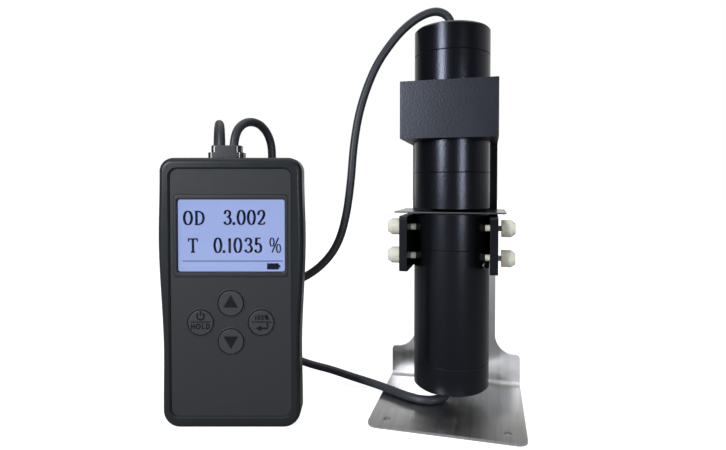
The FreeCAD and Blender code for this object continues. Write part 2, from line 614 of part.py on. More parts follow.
def post_outline():
    """Front view of the sheet behind the bend: wide shoulders, fillets and a narrow post."""
    shoulders = box(-FOOT_HALF, FOOT_HALF, -FOOT_FRONT, POST_BACK, 0, SHOULDER_HEIGHT)
    shoulders = rounded_edges(
        shoulders, SHOULDER_CORNER,
        lambda e: abs(e.tangentAt(e.FirstParameter).y) > 0.9 and e.CenterOfMass.z > SHEET)
    post = box(-POST_HALF, POST_HALF, -FOOT_FRONT, POST_BACK, 0, POST_TOP)
    post = rounded_edges(
        post, POST_CORNER,
        lambda e: abs(e.tangentAt(e.FirstParameter).y) > 0.9 and e.CenterOfMass.z > SHOULDER_HEIGHT)
    outline = shoulders.fuse(post)
    for side in (-1, 1):
        x_post = side * POST_HALF
        x_far = side * (POST_HALF + SHOULDER_FILLET)
        x0, x1 = sorted((x_post, x_far))
        web = box(x0, x1, -FOOT_FRONT, POST_BACK, SHOULDER_HEIGHT, SHOULDER_HEIGHT + SHOULDER_FILLET)
        hollow = rod_y(SHOULDER_FILLET, -FOOT_FRONT, POST_BACK, x_far,
                       SHOULDER_HEIGHT + SHOULDER_FILLET)
        outline = outline.fuse(web.cut(hollow))
    return outline.removeSplitter()


def make_stand():
    bend_y = POST_FRONT - BEND_INNER_RADIUS
    bend_z = SHEET + BEND_INNER_RADIUS
    outer = BEND_INNER_RADIUS + SHEET
    foot = box(-FOOT_HALF, FOOT_HALF, -FOOT_FRONT, bend_y, 0, SHEET)
    foot = rounded_edges(
        foot, FOOT_CORNER,
        lambda e: abs(e.tangentAt(e.FirstParameter).z) > 0.9 and e.CenterOfMass.y < 0)
    bend = rod_x(outer, -FOOT_HALF, FOOT_HALF, bend_y, bend_z)
    bend = bend.cut(rod_x(BEND_INNER_RADIUS, -FOOT_HALF, FOOT_HALF, bend_y, bend_z))
    bend = bend.common(box(-FOOT_HALF, FOOT_HALF, bend_y, POST_BACK, 0, bend_z))
    back = box(-FOOT_HALF, FOOT_HALF, POST_FRONT, POST_BACK, bend_z, POST_TOP)
    stand = foot.fuse(bend).fuse(back.common(post_outline()))
    hole_y = -FOOT_FRONT + FOOT_HOLE_INSET
    for side in (-1, 1):
        stand = stand.cut(tube(FOOT_HOLE_RADIUS, 0, SHEET, x=side * FOOT_HOLE_X, y=hole_y))
    for x, z, radius, _ in holder_screw_places():
        stand = stand.cut(rod_y(radius + SCREW_HOLE_CLEARANCE, POST_FRONT, POST_BACK, x, z))
    parts["stand_plate"] = stand.removeSplitter()


def holder_screw_places():
    """x, z, shank radius and head radius of each screw that comes in from behind."""
    places = []
    for side in (-1, 1):
        for z in (BLOCK_BOTTOM + BLOCK_SCREW_END_DISTANCE, BLOCK_TOP - BLOCK_SCREW_END_DISTANCE):
            x = side * (HOLDER_HALF - BLOCK_SCREW_INSET)
            places.append((x, z, BLOCK_SCREW_RADIUS, BLOCK_SCREW_HEAD))
        for z in (WING_BOTTOM + WING_SCREW_END_DISTANCE, WING_TOP - WING_SCREW_END_DISTANCE):
            x = side * (HOLDER_HALF - WING_SCREW_INSET)
            places.append((x, z, WING_SCREW_RADIUS, WING_SCREW_HEAD))
    return places


def holder_screw(x, z, radius, head_radius):
    shank = rod_y(radius, RAIL_FRONT - HOLDER_SCREW_GRIP, POST_BACK, x, z)
    head = rod_y(head_radius, POST_BACK, POST_BACK + HOLDER_SCREW_HEAD_HEIGHT, x, z)
    outer = [e for e in head.Edges
             if e.Closed and abs(e.CenterOfMass.y - POST_BACK - HOLDER_SCREW_HEAD_HEIGHT) < 1e-6]
    head = head.makeFillet(HOLDER_SCREW_HEAD_HEIGHT / 2, outer)
    return shank.fuse(head)


def make_holder():
    rail = box(-HOLDER_HALF, HOLDER_HALF, RAIL_FRONT, POST_FRONT, WING_BOTTOM, BLOCK_TOP)
    rail = rounded_edges(rail, RAIL_CORNER, lambda e: abs(e.tangentAt(e.FirstParameter).y) > 0.9)

    block = box(-HOLDER_HALF, HOLDER_HALF, -BLOCK_FRONT, RAIL_FRONT, BLOCK_BOTTOM, BLOCK_TOP)
    block = rounded_edges(
        block, BLOCK_EDGE,
        lambda e: abs(e.tangentAt(e.FirstParameter).z) > 0.9 and e.CenterOfMass.y < 0)
    bore = PROBE_RADIUS + BLOCK_BORE_CLEARANCE
    throat_half = math.sqrt(bore ** 2 - BLOCK_THROAT_START ** 2)
    block = block.cut(tube(bore, BLOCK_BOTTOM, BLOCK_TOP))
    block = block.cut(box(-throat_half, throat_half, BLOCK_THROAT_START, RAIL_FRONT,
                          BLOCK_BOTTOM, BLOCK_TOP))

    wings = {-1: None, 1: None}
    for side in wings:
        x0, x1 = sorted((side * WING_INNER, side * HOLDER_HALF))
        wing = box(x0, x1, -WING_FRONT, RAIL_FRONT, WING_BOTTOM, WING_TOP)
        wing = rounded_edges(
            wing, WING_CORNER,
            lambda e: abs(e.tangentAt(e.FirstParameter).x) > 0.9 and e.CenterOfMass.y < 0)
        for z in (THUMB_LOW, THUMB_HIGH):
            hole = rod_x(THUMB_SCREW_RADIUS + THUMB_FIT, x0, x1, -THUMB_FORWARD, z)
            wing = wing.cut(hole)
        wings[side] = wing

    screws = []
    for x, z, radius, head_radius in holder_screw_places():
        hole = rod_y(radius, RAIL_FRONT - HOLDER_SCREW_GRIP, RAIL_FRONT, x, z)
        block = block.cut(hole)
        for side in wings:
            wings[side] = wings[side].cut(hole)
        rail = rail.cut(rod_y(radius + SCREW_HOLE_CLEARANCE, RAIL_FRONT, POST_FRONT, x, z))
        screws.append((head_radius, holder_screw(x, z, radius, head_radius)))

    parts["holder_rail"] = rail
    parts["upper_block"] = block
    parts["left_wing"] = wings[-1]
    parts["right_wing"] = wings[1]
    parts["block_screws"] = together([s for r, s in screws if r == BLOCK_SCREW_HEAD])
    parts["wing_screws"] = together([s for r, s in screws if r == WING_SCREW_HEAD])


def make_thumbscrew(side, z):
    """White screw: shank through the wing, short neck and a barrel head with a tapered end."""
    wing_face = HOLDER_HALF
    head_start = wing_face + THUMB_NECK_LENGTH
    taper_start = head_start + THUMB_HEAD_STRAIGHT
    end = taper_start + THUMB_HEAD_TAPER
    outline = [
        (THUMB_TIP, 0), (THUMB_TIP, THUMB_TIP_RADIUS),
        (THUMB_TIP + THUMB_EDGE, THUMB_SCREW_RADIUS), (wing_face, THUMB_SCREW_RADIUS),
        (wing_face, THUMB_NECK_RADIUS), (head_start, THUMB_NECK_RADIUS),
        (head_start, THUMB_HEAD_RADIUS - THUMB_EDGE), (head_start + THUMB_EDGE, THUMB_HEAD_RADIUS),
        (taper_start, THUMB_HEAD_RADIUS), (end, THUMB_END_RADIUS), (end, 0),
    ]
    profile = [vec(side * x, -THUMB_FORWARD, z + r) for x, r in outline]
    return revolved(profile, vec(0, -THUMB_FORWARD, z), vec(side, 0, 0))


# ---------------------------------------------------------------- meter

def meter_outline(inset, y, base_inset=None):
    """Front view of the meter as a closed wire: broad chest, slight waist and round corners."""
    z0 = inset if base_inset is None else base_inset
    top = METER_TOP_HALF - inset
    base = METER_BASE_HALF - inset
    top_r = METER_TOP_CORNER - inset
    base_r = METER_BASE_CORNER - inset
    z1 = METER_HEIGHT - inset
    side_points = [vec(base, y, z0 + base_r), vec(METER_WAIST_HALF - inset, y, WAIST_Z),
                   vec(METER_CHEST_HALF - inset, y, METER_CHEST_Z), vec(top, y, z1 - top_r)]
    right = Part.BSplineCurve()
    right.interpolate(Points=side_points, InitialTangent=AXIS_Z, FinalTangent=AXIS_Z)
    left = Part.BSplineCurve()
    left.interpolate(Points=[vec(-p.x, p.y, p.z) for p in reversed(side_points)],
                     InitialTangent=-AXIS_Z, FinalTangent=-AXIS_Z)
    diagonal = math.sqrt(0.5)
    edges = []

    def corner(x, z, radius, x_sign, z_sign, start, end):
        middle = vec(x + x_sign * radius * diagonal, y, z + z_sign * radius * diagonal)
        edges.append(Part.Arc(start, middle, end).toShape())

    edges.append(Part.LineSegment(vec(-base + base_r, y, z0), vec(base - base_r, y, z0)).toShape())
    corner(base - base_r, z0 + base_r, base_r, 1, -1, vec(base - base_r, y, z0), side_points[0])
    edges.append(right.toShape())
    corner(top - top_r, z1 - top_r, top_r, 1, 1, side_points[3], vec(top - top_r, y, z1))
    edges.append(Part.LineSegment(vec(top - top_r, y, z1), vec(-top + top_r, y, z1)).toShape())
    corner(-top + top_r, z1 - top_r, top_r, -1, 1, vec(-top + top_r, y, z1),
           vec(-top, y, z1 - top_r))
    edges.append(left.toShape())
    corner(-base + base_r, z0 + base_r, base_r, -1, -1, vec(-base, y, z0 + base_r),
           vec(-base + base_r, y, z0))
    return Part.Wire(edges)


def meter_prism(inset, y0, y1):
    return Part.Face(meter_outline(inset, y0)).extrude(vec(0, y1 - y0, 0))


def tapered_opening(half_x0, z0, z1, radius0, y0, half_x1, z2, z3, radius1, y1):
    near = rounded_wire(half_x0, z0, z1, radius0, y0)
    far = rounded_wire(half_x1, z2, z3, radius1, y1)
    return Part.makeLoft([near, far], True, True)


def boot_slot():
    """Slot through the top wall, shared by the two shells, that the boot's neck fills."""
    return upright_block(BOOT_NECK_WIDTH / 2, BOOT_NECK_DEPTH / 2, BOOT_CORNER, FRONT_SHELL_DEPTH,
                         METER_HEIGHT - 2 * METER_WALL, METER_HEIGHT, BOOT_X)


def make_front_shell():
    shell = meter_prism(0, 0, FRONT_SHELL_DEPTH)
    shell = rounded_edges(shell, FRONT_EDGE_RADIUS,
                          lambda e: e.BoundBox.YMax < 1e-6)
    shell = shell.cut(meter_prism(METER_WALL, PLATE_BACK, FRONT_SHELL_DEPTH))
    half = FACE_WIDTH / 2
    shell = shell.cut(rounded_block(half, FACE_BOTTOM, FACE_TOP, FACE_CORNER, 0, FASCIA_BACK))
    shell = shell.cut(tapered_opening(
        half + FACE_LIP, FACE_BOTTOM - FACE_LIP, FACE_TOP + FACE_LIP, FACE_CORNER + FACE_LIP, 0,
        half, FACE_BOTTOM, FACE_TOP, FACE_CORNER, FACE_LIP))

    bezel_half = DISPLAY_WIDTH / 2 + BEZEL_MARGIN_SIDE
    bezel_bottom = DISPLAY_BOTTOM - BEZEL_MARGIN_END
    bezel_top = DISPLAY_TOP + BEZEL_MARGIN_END
    bezel_front = FACE_RECESS - BEZEL_PROUD
    shell = shell.fuse(rounded_block(bezel_half, bezel_bottom, bezel_top, BEZEL_MARGIN_SIDE,
                                     bezel_front, FASCIA_BACK))
    lip = BEZEL_MARGIN_SIDE / 4
    shell = shell.cut(tapered_opening(
        bezel_half - lip, bezel_bottom + lip, bezel_top - lip, BEZEL_MARGIN_SIDE, bezel_front,
        DISPLAY_WIDTH / 2, DISPLAY_BOTTOM, DISPLAY_TOP, lip, WINDOW_FRONT))
    window_half = DISPLAY_WIDTH / 2 + WINDOW_MARGIN + WINDOW_CLEARANCE
    shell = shell.cut(box(-window_half, window_half, WINDOW_FRONT, PLATE_BACK,
                          DISPLAY_BOTTOM - WINDOW_MARGIN - WINDOW_CLEARANCE,
                          DISPLAY_TOP + WINDOW_MARGIN + WINDOW_CLEARANCE))
    for x, z in KEY_PLACES.values():
        shell = shell.cut(rod_y(KEY_RADIUS + KEY_CLEARANCE, 0, PLATE_BACK, x, z))
    for x in (-BOSS_X, BOSS_X):
        for z in BOSS_HEIGHTS:
            shell = shell.fuse(rod_y(BOSS_RADIUS, PLATE_BACK, BOARD_FRONT, x, z))
            shell = shell.cut(rod_y(CASE_SCREW_RADIUS, CASE_SCREW_END, BOARD_FRONT, x, z))
    shell = shell.cut(boot_slot()).removeSplitter()
    parts["meter_front_shell"] = in_meter(shell)
    return shell


def make_fascia():
    half = FACE_WIDTH / 2 - FASCIA_CLEARANCE
    fascia = rounded_block(half, FACE_BOTTOM + FASCIA_CLEARANCE, FACE_TOP - FASCIA_CLEARANCE,
                           FACE_CORNER - FASCIA_CLEARANCE, FACE_RECESS, FASCIA_BACK)
    opening_half = DISPLAY_WIDTH / 2 + BEZEL_MARGIN_SIDE + FASCIA_CLEARANCE
    margin = BEZEL_MARGIN_END + FASCIA_CLEARANCE
    fascia = fascia.cut(rounded_block(
        opening_half, DISPLAY_BOTTOM - margin, DISPLAY_TOP + margin,
        BEZEL_MARGIN_SIDE, FACE_RECESS, FASCIA_BACK))
    for x, z in KEY_PLACES.values():
        fascia = fascia.cut(rod_y(KEY_RADIUS + KEY_CLEARANCE, FACE_RECESS, FASCIA_BACK, x, z))
    parts["fascia_panel"] = in_meter(fascia)


def make_display():
    half = DISPLAY_WIDTH / 2
    low = DISPLAY_BOTTOM
    high = DISPLAY_TOP
    window = box(-half - WINDOW_MARGIN, half + WINDOW_MARGIN, WINDOW_FRONT, PLATE_BACK,
                 low - WINDOW_MARGIN, high + WINDOW_MARGIN)
    lcd = box(-half - LCD_MARGIN, half + LCD_MARGIN, LCD_FRONT, LCD_BACK,
              low - LCD_MARGIN, high + LCD_MARGIN)
    frame_half = half + LCD_FRAME_MARGIN
    frame_low = low - LCD_FRAME_MARGIN
    frame_high = high + LCD_FRAME_MARGIN
    frame = box(-frame_half, frame_half, PLATE_BACK, LCD_FRAME_BACK, frame_low, frame_high)
    frame = frame.cut(box(-half - LCD_MARGIN - WINDOW_CLEARANCE, half + LCD_MARGIN + WINDOW_CLEARANCE,
                          PLATE_BACK, LCD_BACK, low - LCD_MARGIN - WINDOW_CLEARANCE,
                          high + LCD_MARGIN + WINDOW_CLEARANCE))
    for x in (-frame_half, frame_half - LCD_LEG):
        for z in (frame_low, frame_high - LCD_LEG):
            frame = frame.fuse(box(x, x + LCD_LEG, LCD_FRAME_BACK, BOARD_FRONT, z, z + LCD_LEG))
    parts["display_window"] = in_meter(window)
    parts["lcd_glass"] = in_meter(lcd)
    parts["backlight_frame"] = in_meter(frame.removeSplitter())


def make_key(x, z):
    cap = rod_y(KEY_RADIUS, KEY_FRONT, KEY_FLANGE_FRONT, x, z)
    cap = cap.makeFillet(KEY_EDGE, [e for e in cap.Edges
                                    if e.Closed and abs(e.CenterOfMass.y - KEY_FRONT) < 1e-6])
    flange = rod_y(KEY_RADIUS + KEY_FLANGE, KEY_FLANGE_FRONT, KEY_FLANGE_BACK, x, z)
    stem = rod_y(KEY_STEM_RADIUS, KEY_FLANGE_BACK, KEY_STEM_BACK, x, z)
    return in_meter(cap.fuse(flange).fuse(stem).removeSplitter())


def make_keypad():
    mat_half = KEY_SIDE + MAT_MARGIN
    mat = rounded_block(mat_half, KEY_MIDDLE_Z - KEY_DOWN - MAT_MARGIN,
                        KEY_MIDDLE_Z + KEY_UP + MAT_MARGIN, BOARD_CORNER,
                        MAT_FRONT, SWITCH_BODY_FRONT)
    switches = []
    half = SWITCH_BODY_SIDE / 2
    for name, (x, z) in KEY_PLACES.items():
        mat = mat.cut(rod_y(KEY_STEM_RADIUS + MAT_HOLE_CLEARANCE, MAT_FRONT, SWITCH_BODY_FRONT, x, z))
        body = box(x - half, x + half, SWITCH_BODY_FRONT, BOARD_FRONT, z - half, z + half)
        switches.append(body.fuse(rod_y(SWITCH_BUTTON_RADIUS, SWITCH_FRONT, SWITCH_BODY_FRONT, x, z)))
        parts[name] = make_key(x, z)
    parts["keypad_mat"] = in_meter(mat)
    parts["key_switches"] = in_meter(together(switches))


def make_board():
    half = METER_WAIST_HALF - METER_WALL - BOARD_SIDE_CLEARANCE
    top = METER_HEIGHT - BOARD_END_CLEARANCE
    board = rounded_block(half, BOARD_END_CLEARANCE, top, BOARD_CORNER, BOARD_FRONT, BOARD_BACK)
    for x in (-BOSS_X, BOSS_X):
        for z in BOSS_HEIGHTS:
            board = board.cut(rod_y(CASE_SCREW_RADIUS + SCREW_HOLE_CLEARANCE, BOARD_FRONT,
                                    BOARD_BACK, x, z))
    parts["main_board"] = in_meter(board)
    chip = box(-CHIP_SIDE / 2, CHIP_SIDE / 2, BOARD_BACK, BOARD_BACK + CHIP_HEIGHT,
               DISPLAY_BOTTOM, DISPLAY_BOTTOM + CHIP_SIDE)
    parts["main_chip"] = in_meter(chip)
    connectors = []
    for side in (-1, 1):
        x = BOOT_X + side * CONNECTOR_WIDTH
        connectors.append(box(x - CONNECTOR_WIDTH / 2, x + CONNECTOR_WIDTH / 2, BOARD_BACK,
                              BOARD_BACK + CONNECTOR_DEPTH, DISPLAY_TOP,
                              DISPLAY_TOP + CONNECTOR_HEIGHT))
    parts["probe_connectors"] = in_meter(together(connectors))


def rear_loft(inset, y):
    """Rear half of the meter: it draws in towards the back, but its base stays flat to stand on."""
    return Part.makeLoft([meter_outline(inset, FRONT_SHELL_DEPTH),
                          meter_outline(inset + REAR_DRAFT, y, inset)], True, True)


def make_rear_shell():
    shell = rear_loft(0, METER_DEPTH)
    shell = rounded_edges(shell, REAR_EDGE_RADIUS, lambda e: e.BoundBox.YMin > METER_DEPTH - 1e-6)
    shell = shell.cut(rear_loft(METER_WALL, BACK_INNER))

    bay = box(-BAY_HALF - BAY_WALL, BAY_HALF + BAY_WALL, BAY_FRONT - BAY_WALL, BACK_INNER,
              BAY_BOTTOM - BAY_WALL, BAY_TOP + BAY_WALL)
    shell = shell.fuse(bay)
    shell = shell.cut(box(-BAY_HALF, BAY_HALF, BAY_FRONT, METER_DEPTH, BAY_BOTTOM, BAY_TOP))
    pin_reach = DOOR_HALF + DOOR_PIN_LENGTH + DOOR_CLEARANCE
    shell = shell.cut(rod_x(DOOR_PIN_RADIUS + DOOR_PIN_FIT, -pin_reach, pin_reach,
                            DOOR_PIVOT_Y, DOOR_PIVOT_Z))
    for x in (-BOSS_X, BOSS_X):
        for z in BOSS_HEIGHTS:
            boss = rod_y(REAR_BOSS_RADIUS, BOARD_BACK, BACK_INNER, x, z)
            shell = shell.fuse(boss.common(rear_space()))
            shell = shell.cut(rod_y(CASE_SCREW_RADIUS + SCREW_HOLE_CLEARANCE, BOARD_BACK,
                                    METER_DEPTH, x, z))
            shell = shell.cut(rod_y(CASE_SCREW_HEAD + SCREW_HOLE_CLEARANCE * 3, SCREW_SEAT,
                                    METER_DEPTH, x, z))
    shell = shell.cut(boot_slot()).removeSplitter()
    parts["meter_rear_shell"] = in_meter(shell)
    return shell


def rear_space():
    """The room that a boss may fill: all of the meter's depth, just inside its outer surface."""
    return meter_prism(METER_WALL / 2, 0, FRONT_SHELL_DEPTH).fuse(
        rear_loft(METER_WALL / 2, METER_DEPTH))


def make_door():
    door = box(-DOOR_HALF, DOOR_HALF, BACK_INNER, METER_DEPTH, DOOR_PIVOT_Z, DOOR_TOP)
    door = door.fuse(rod_x(DOOR_ROUND, -DOOR_HALF, DOOR_HALF, DOOR_PIVOT_Y, DOOR_PIVOT_Z))
    pin_half = DOOR_HALF + DOOR_PIN_LENGTH
    door = door.fuse(rod_x(DOOR_PIN_RADIUS, -pin_half, pin_half, DOOR_PIVOT_Y, DOOR_PIVOT_Z))
    for index in range(GRIP_GROOVES):
        z = DOOR_TOP - (index + 2) * GRIP_PITCH
        door = door.cut(box(-GRIP_WIDTH / 2, GRIP_WIDTH / 2, METER_DEPTH - GRIP_DEPTH, METER_DEPTH,
                            z, z + GRIP_PITCH / 2))
    parts["battery_door"] = in_meter(door.removeSplitter())


def make_cells():
    cells = []
    springs = []
    contacts = []
    low = BAY_BOTTOM + CONTACT_THICKNESS
    high = BAY_TOP - CONTACT_THICKNESS
    for index in range(CELL_COUNT):
        x = (index - (CELL_COUNT - 1) / 2) * CELL_PITCH
        nub_up = index % 2 == 0
        base = low + SPRING_FREE if nub_up else low + CELL_NUB
        cell = tube(CELL_RADIUS, base, base + CELL_LENGTH, x=x, y=CELL_Y)
        nub_z = base + CELL_LENGTH if nub_up else low
        cells.append(cell.fuse(tube(CELL_NUB_RADIUS, nub_z, nub_z + CELL_NUB, x=x, y=CELL_Y)))
        spring_z = low if nub_up else high - SPRING_FREE
        springs.append(coil(x, CELL_Y, spring_z, SPRING_FREE))
        half = CELL_RADIUS - BAY_CLEARANCE
        for z in (BAY_BOTTOM, high):
            contacts.append(box(x - half, x + half, CELL_Y - half, CELL_Y + half,
                                z, z + CONTACT_THICKNESS))
    parts["battery_cells"] = in_meter(together(cells))
    parts["battery_springs"] = in_meter(together(springs))
    parts["battery_contacts"] = in_meter(together(contacts))


def coil(x, y, z, height):
    """Round-wire compression spring that just touches at both ends."""
    turns_height = height - 2 * SPRING_WIRE
    helix = Part.makeHelix(turns_height / SPRING_TURNS, turns_height, SPRING_RADIUS)
    profile = Part.Wire(Part.makeCircle(SPRING_WIRE, vec(SPRING_RADIUS, 0, 0), AXIS_Y))
    spring = Part.Wire(helix.Edges).makePipeShell([profile], True, True)
    spring.translate(vec(x, y, z + SPRING_WIRE))
    return spring


def make_case_screws():
    screws = []
    for x in (-BOSS_X, BOSS_X):
        for z in BOSS_HEIGHTS:
            shank = rod_y(CASE_SCREW_RADIUS, CASE_SCREW_END, SCREW_SEAT, x, z)
            head = rod_y(CASE_SCREW_HEAD, SCREW_SEAT, SCREW_SEAT + CASE_SCREW_HEAD_HEIGHT, x, z)
            screws.append(shank.fuse(head))
    parts["case_screws"] = in_meter(together(screws))


def make_boot(front_shell, rear_shell):
    """Rubber strain relief, moulded round the edge of the slot in the two shells."""
    y = FRONT_SHELL_DEPTH
    step_top = METER_HEIGHT + BOOT_STEP_HEIGHT
    flange_base = METER_HEIGHT - METER_WALL - BOOT_FLANGE
    body = upright_block(BOOT_STEP_WIDTH / 2, BOOT_STEP_DEPTH / 2, BOOT_CORNER, y,
                         flange_base, step_top, BOOT_X)
    body = body.cut(front_shell).cut(rear_shell)
    tower = upright_block(BOOT_WIDTH / 2, BOOT_DEPTH / 2, BOOT_CORNER, y, step_top, BOOT_TOP, BOOT_X)
    top_edges = [e for e in tower.Edges if e.BoundBox.ZMin > BOOT_TOP - 1e-6]
    boot = body.fuse(tower.makeFillet(KEY_EDGE, top_edges)).removeSplitter()
    boot = in_meter(boot)
    for x, y, z in (LOWER_CORD[0], UPPER_CORD[0]):
        boot = boot.cut(cord_socket(x, y, z, BOOT_TOP))
    parts["cable_boot"] = boot


# ---------------------------------------------------------------- cords

def cord_path(points):
    """Straight runs joined by tangent arcs, each as large as its two runs allow."""
    pts = [vec(*p) for p in points]
    edges = []
    radii = []
    start = pts[0]
    for before, corner, after in zip(pts, pts[1:], pts[2:]):
        run_in = corner - before
        run_out = after - corner
        turn = run_in.getAngle(run_out)
        shorter = min(run_in.Length, run_out.Length)
        cut_back = ARC_SHARE * shorter
        radius = cut_back / math.tan(turn / 2)
        radii.append(radius)
        unit_in = run_in.normalize()
        unit_out = run_out.normalize()
        arc_start = corner - unit_in * cut_back
        arc_end = corner + unit_out * cut_back
        inward = (unit_out - unit_in).normalize()
        middle = corner + inward * (radius / math.cos(turn / 2) - radius)
        edges.append(Part.LineSegment(start, arc_start).toShape())
        edges.append(Part.Arc(arc_start, middle, arc_end).toShape())
        start = arc_end
    edges.append(Part.LineSegment(start, pts[-1]).toShape())
    return Part.Wire(edges), radii


def make_cord(name, points):
    path, radii = cord_path(points)
    start = vec(*points[0])
    direction = vec(*points[1]) - start
    circle = Part.Wire(Part.makeCircle(CORD_DIAMETER / 2, start, direction))
    cord = path.makePipeShell([circle], True, True)
    section = math.pi * (CORD_DIAMETER / 2) ** 2
    print(name, "length", round(path.Length, 1), "volume over section times length",
          round(cord.Volume / (section * path.Length), 4), "smallest radius", round(min(radii), 1))
    print(name, "radii", [round(r, 1) for r in radii])
    parts[name] = cord


# ---------------------------------------------------------------- build and write

def build():
    make_upper_probe()
    make_lower_probe()
    parts["upper_gland"] = make_gland(UPPER_PROBE_TOP, -1, UPPER_GLAND_HEIGHT,
                                      UPPER_CORD[-1][2])
    parts["lower_gland"] = make_gland(LOWER_PROBE_BASE, 1, -LOWER_GLAND_RECESS,
                                      LOWER_CORD[-1][2])
    make_sample_plate()
    make_stand()
    make_holder()
    parts["thumbscrew_left_lower"] = make_thumbscrew(-1, THUMB_LOW)
    parts["thumbscrew_left_upper"] = make_thumbscrew(-1, THUMB_HIGH)
    parts["thumbscrew_right_lower"] = make_thumbscrew(1, THUMB_LOW)
    parts["thumbscrew_right_upper"] = make_thumbscrew(1, THUMB_HIGH)
    front_shell = make_front_shell()
    make_fascia()
    make_display()
    make_keypad()
    make_board()
    rear_shell = make_rear_shell()
    make_door()
    make_cells()
    make_case_screws()
    make_boot(front_shell, rear_shell)
    make_cord("upper_cord", UPPER_CORD)
    make_cord("lower_cord", LOWER_CORD)


def write_parts():
    os.makedirs("parts", exist_ok=True)
    for name, shape in sorted(parts.items()):
        if not shape.isValid():
            print("not valid:", name)
        shape.exportStep(os.path.join("parts", name + ".step"))
        print(name, len(shape.Solids), "solid(s),", round(shape.Volume, 1), "mm3")


build()
write_parts()
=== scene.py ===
# %% [markdown]
# # A transmission densitometer
# A densitometer measures how much light a piece of film lets through. A lamp probe shines down, a sensor
# probe looks up, and the film lies on a bright plate in the slot between them. A bent steel stand holds the
# probes, and two cords run to a hand-held meter. The solid parts are already made, so this script adds what
# solids can't say: finishes, screws with driven heads, legends, a lit display and soft cords.

import json
import math

import bmesh
import bpy
from mathutils import Matrix, Vector


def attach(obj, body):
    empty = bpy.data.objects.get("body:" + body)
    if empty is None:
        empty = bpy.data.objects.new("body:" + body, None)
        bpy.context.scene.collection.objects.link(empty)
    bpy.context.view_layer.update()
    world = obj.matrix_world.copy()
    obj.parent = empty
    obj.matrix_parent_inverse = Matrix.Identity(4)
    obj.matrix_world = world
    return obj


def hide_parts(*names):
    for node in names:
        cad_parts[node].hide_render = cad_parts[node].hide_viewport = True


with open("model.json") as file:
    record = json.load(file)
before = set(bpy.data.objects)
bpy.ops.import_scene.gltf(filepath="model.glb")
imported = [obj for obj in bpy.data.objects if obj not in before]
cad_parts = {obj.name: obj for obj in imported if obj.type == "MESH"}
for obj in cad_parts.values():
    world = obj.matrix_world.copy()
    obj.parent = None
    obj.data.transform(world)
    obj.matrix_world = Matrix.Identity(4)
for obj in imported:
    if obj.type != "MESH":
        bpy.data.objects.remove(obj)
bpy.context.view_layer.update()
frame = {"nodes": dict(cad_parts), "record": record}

# %% [markdown]
# ## Camera
# The meter stands to the left and the stand to the right, both seen almost from the front by one level
# camera. A short lens close by gives the probes their gentle widening towards the top and bottom. The frame
# is set a little low with lens shift rather than by tilting, so that upright edges stay upright.

# %% Camera
def link(made):
    bpy.context.scene.collection.objects.link(made)
    return made


camera_data = bpy.data.cameras.new("bench_camera")
camera_data.lens = 24.03
camera_data.sensor_width = 36.0
camera_data.shift_y = -0.04
camera_data.clip_start = 0.01
camera = link(bpy.data.objects.new("bench_camera", camera_data))
camera.location = (0.0227, -0.3057, 0.1346)
camera.rotation_euler = (math.radians(88.68), 0, math.radians(14.61))
bpy.context.scene.camera = camera
print("camera looks along", camera.rotation_euler.to_matrix() @ Vector((0, 0, -1)))

# %% [markdown]
# ## Cords
# Each probe has a round rubber-jacketed cord, 5 mm thick, that leaves the meter's rubber boot and ends in
# the probe's gland. A cord bends smoothly, so its middle line is one NURBS curve led by a few points, and
# a round bevel gives it thickness. A swept mesh would do as well, but a curve stays easy to reshape. The
# upper cord loops out of the boot, drops behind the meter, sweeps up beside the stand and over into the
# top of the lamp probe. The lower one loops the other way, drops, and runs along the bench onto the foot
# and under the sensor probe.

# %% Cords
CORD_DIAMETER = 0.0050
UPPER_CORD = [
    (-0.1188, -0.0559, 0.1516), (-0.1188, -0.0559, 0.1632), (-0.1159, -0.0479, 0.1718),
    (-0.1117, -0.0365, 0.1718), (-0.1087, -0.0285, 0.1632), (-0.1083, -0.0268, 0.1500),
    (-0.1114, -0.0261, 0.1300), (-0.1175, -0.0272, 0.1100), (-0.1193, -0.0276, 0.0910),
    (-0.1123, -0.0268, 0.0760), (-0.0999, -0.0246, 0.0720), (-0.0868, -0.0223, 0.0777),
    (-0.0764, -0.0199, 0.0860), (-0.0683, -0.0178, 0.0976), (-0.0634, -0.0167, 0.1147),
    (-0.0605, -0.0160, 0.1370), (-0.0589, -0.0157, 0.1600), (-0.0549, -0.0147, 0.1832),
    (-0.0466, -0.0125, 0.2064), (-0.0373, -0.0098, 0.2211), (-0.0284, -0.0074, 0.2317),
    (-0.0176, -0.0046, 0.2397), (-0.0076, -0.0020, 0.2422), (0.0, 0.0, 0.2362), (0.0, 0.0, 0.2265)]
LOWER_CORD = [
    (-0.1258, -0.0577, 0.1516), (-0.1258, -0.0577, 0.1631), (-0.1301, -0.0516, 0.1706),
    (-0.1362, -0.0429, 0.1706), (-0.1405, -0.0368, 0.1631), (-0.1417, -0.0355, 0.1480),
    (-0.1417, -0.0329, 0.1260), (-0.1364, -0.0264, 0.1060), (-0.1265, -0.0176, 0.0900),
    (-0.1193, -0.0096, 0.0720), (-0.1180, -0.0030, 0.0540), (-0.1192, 0.0018, 0.0370),
    (-0.1166, 0.0056, 0.0225), (-0.1091, 0.0086, 0.0130), (-0.0976, 0.0101, 0.0092),
    (-0.0817, 0.0080, 0.0079), (-0.0655, 0.0049, 0.0056), (-0.0500, 0.0008, 0.0044),
    (-0.0368, -0.0054, 0.00405), (-0.0256, -0.0119, 0.00405), (-0.0156, -0.0148, 0.00405),
    (-0.0074, -0.0126, 0.00405), (-0.0020, -0.0050, 0.00405), (0.0, 0.0, 0.0095), (0.0, 0.0, 0.0172)]


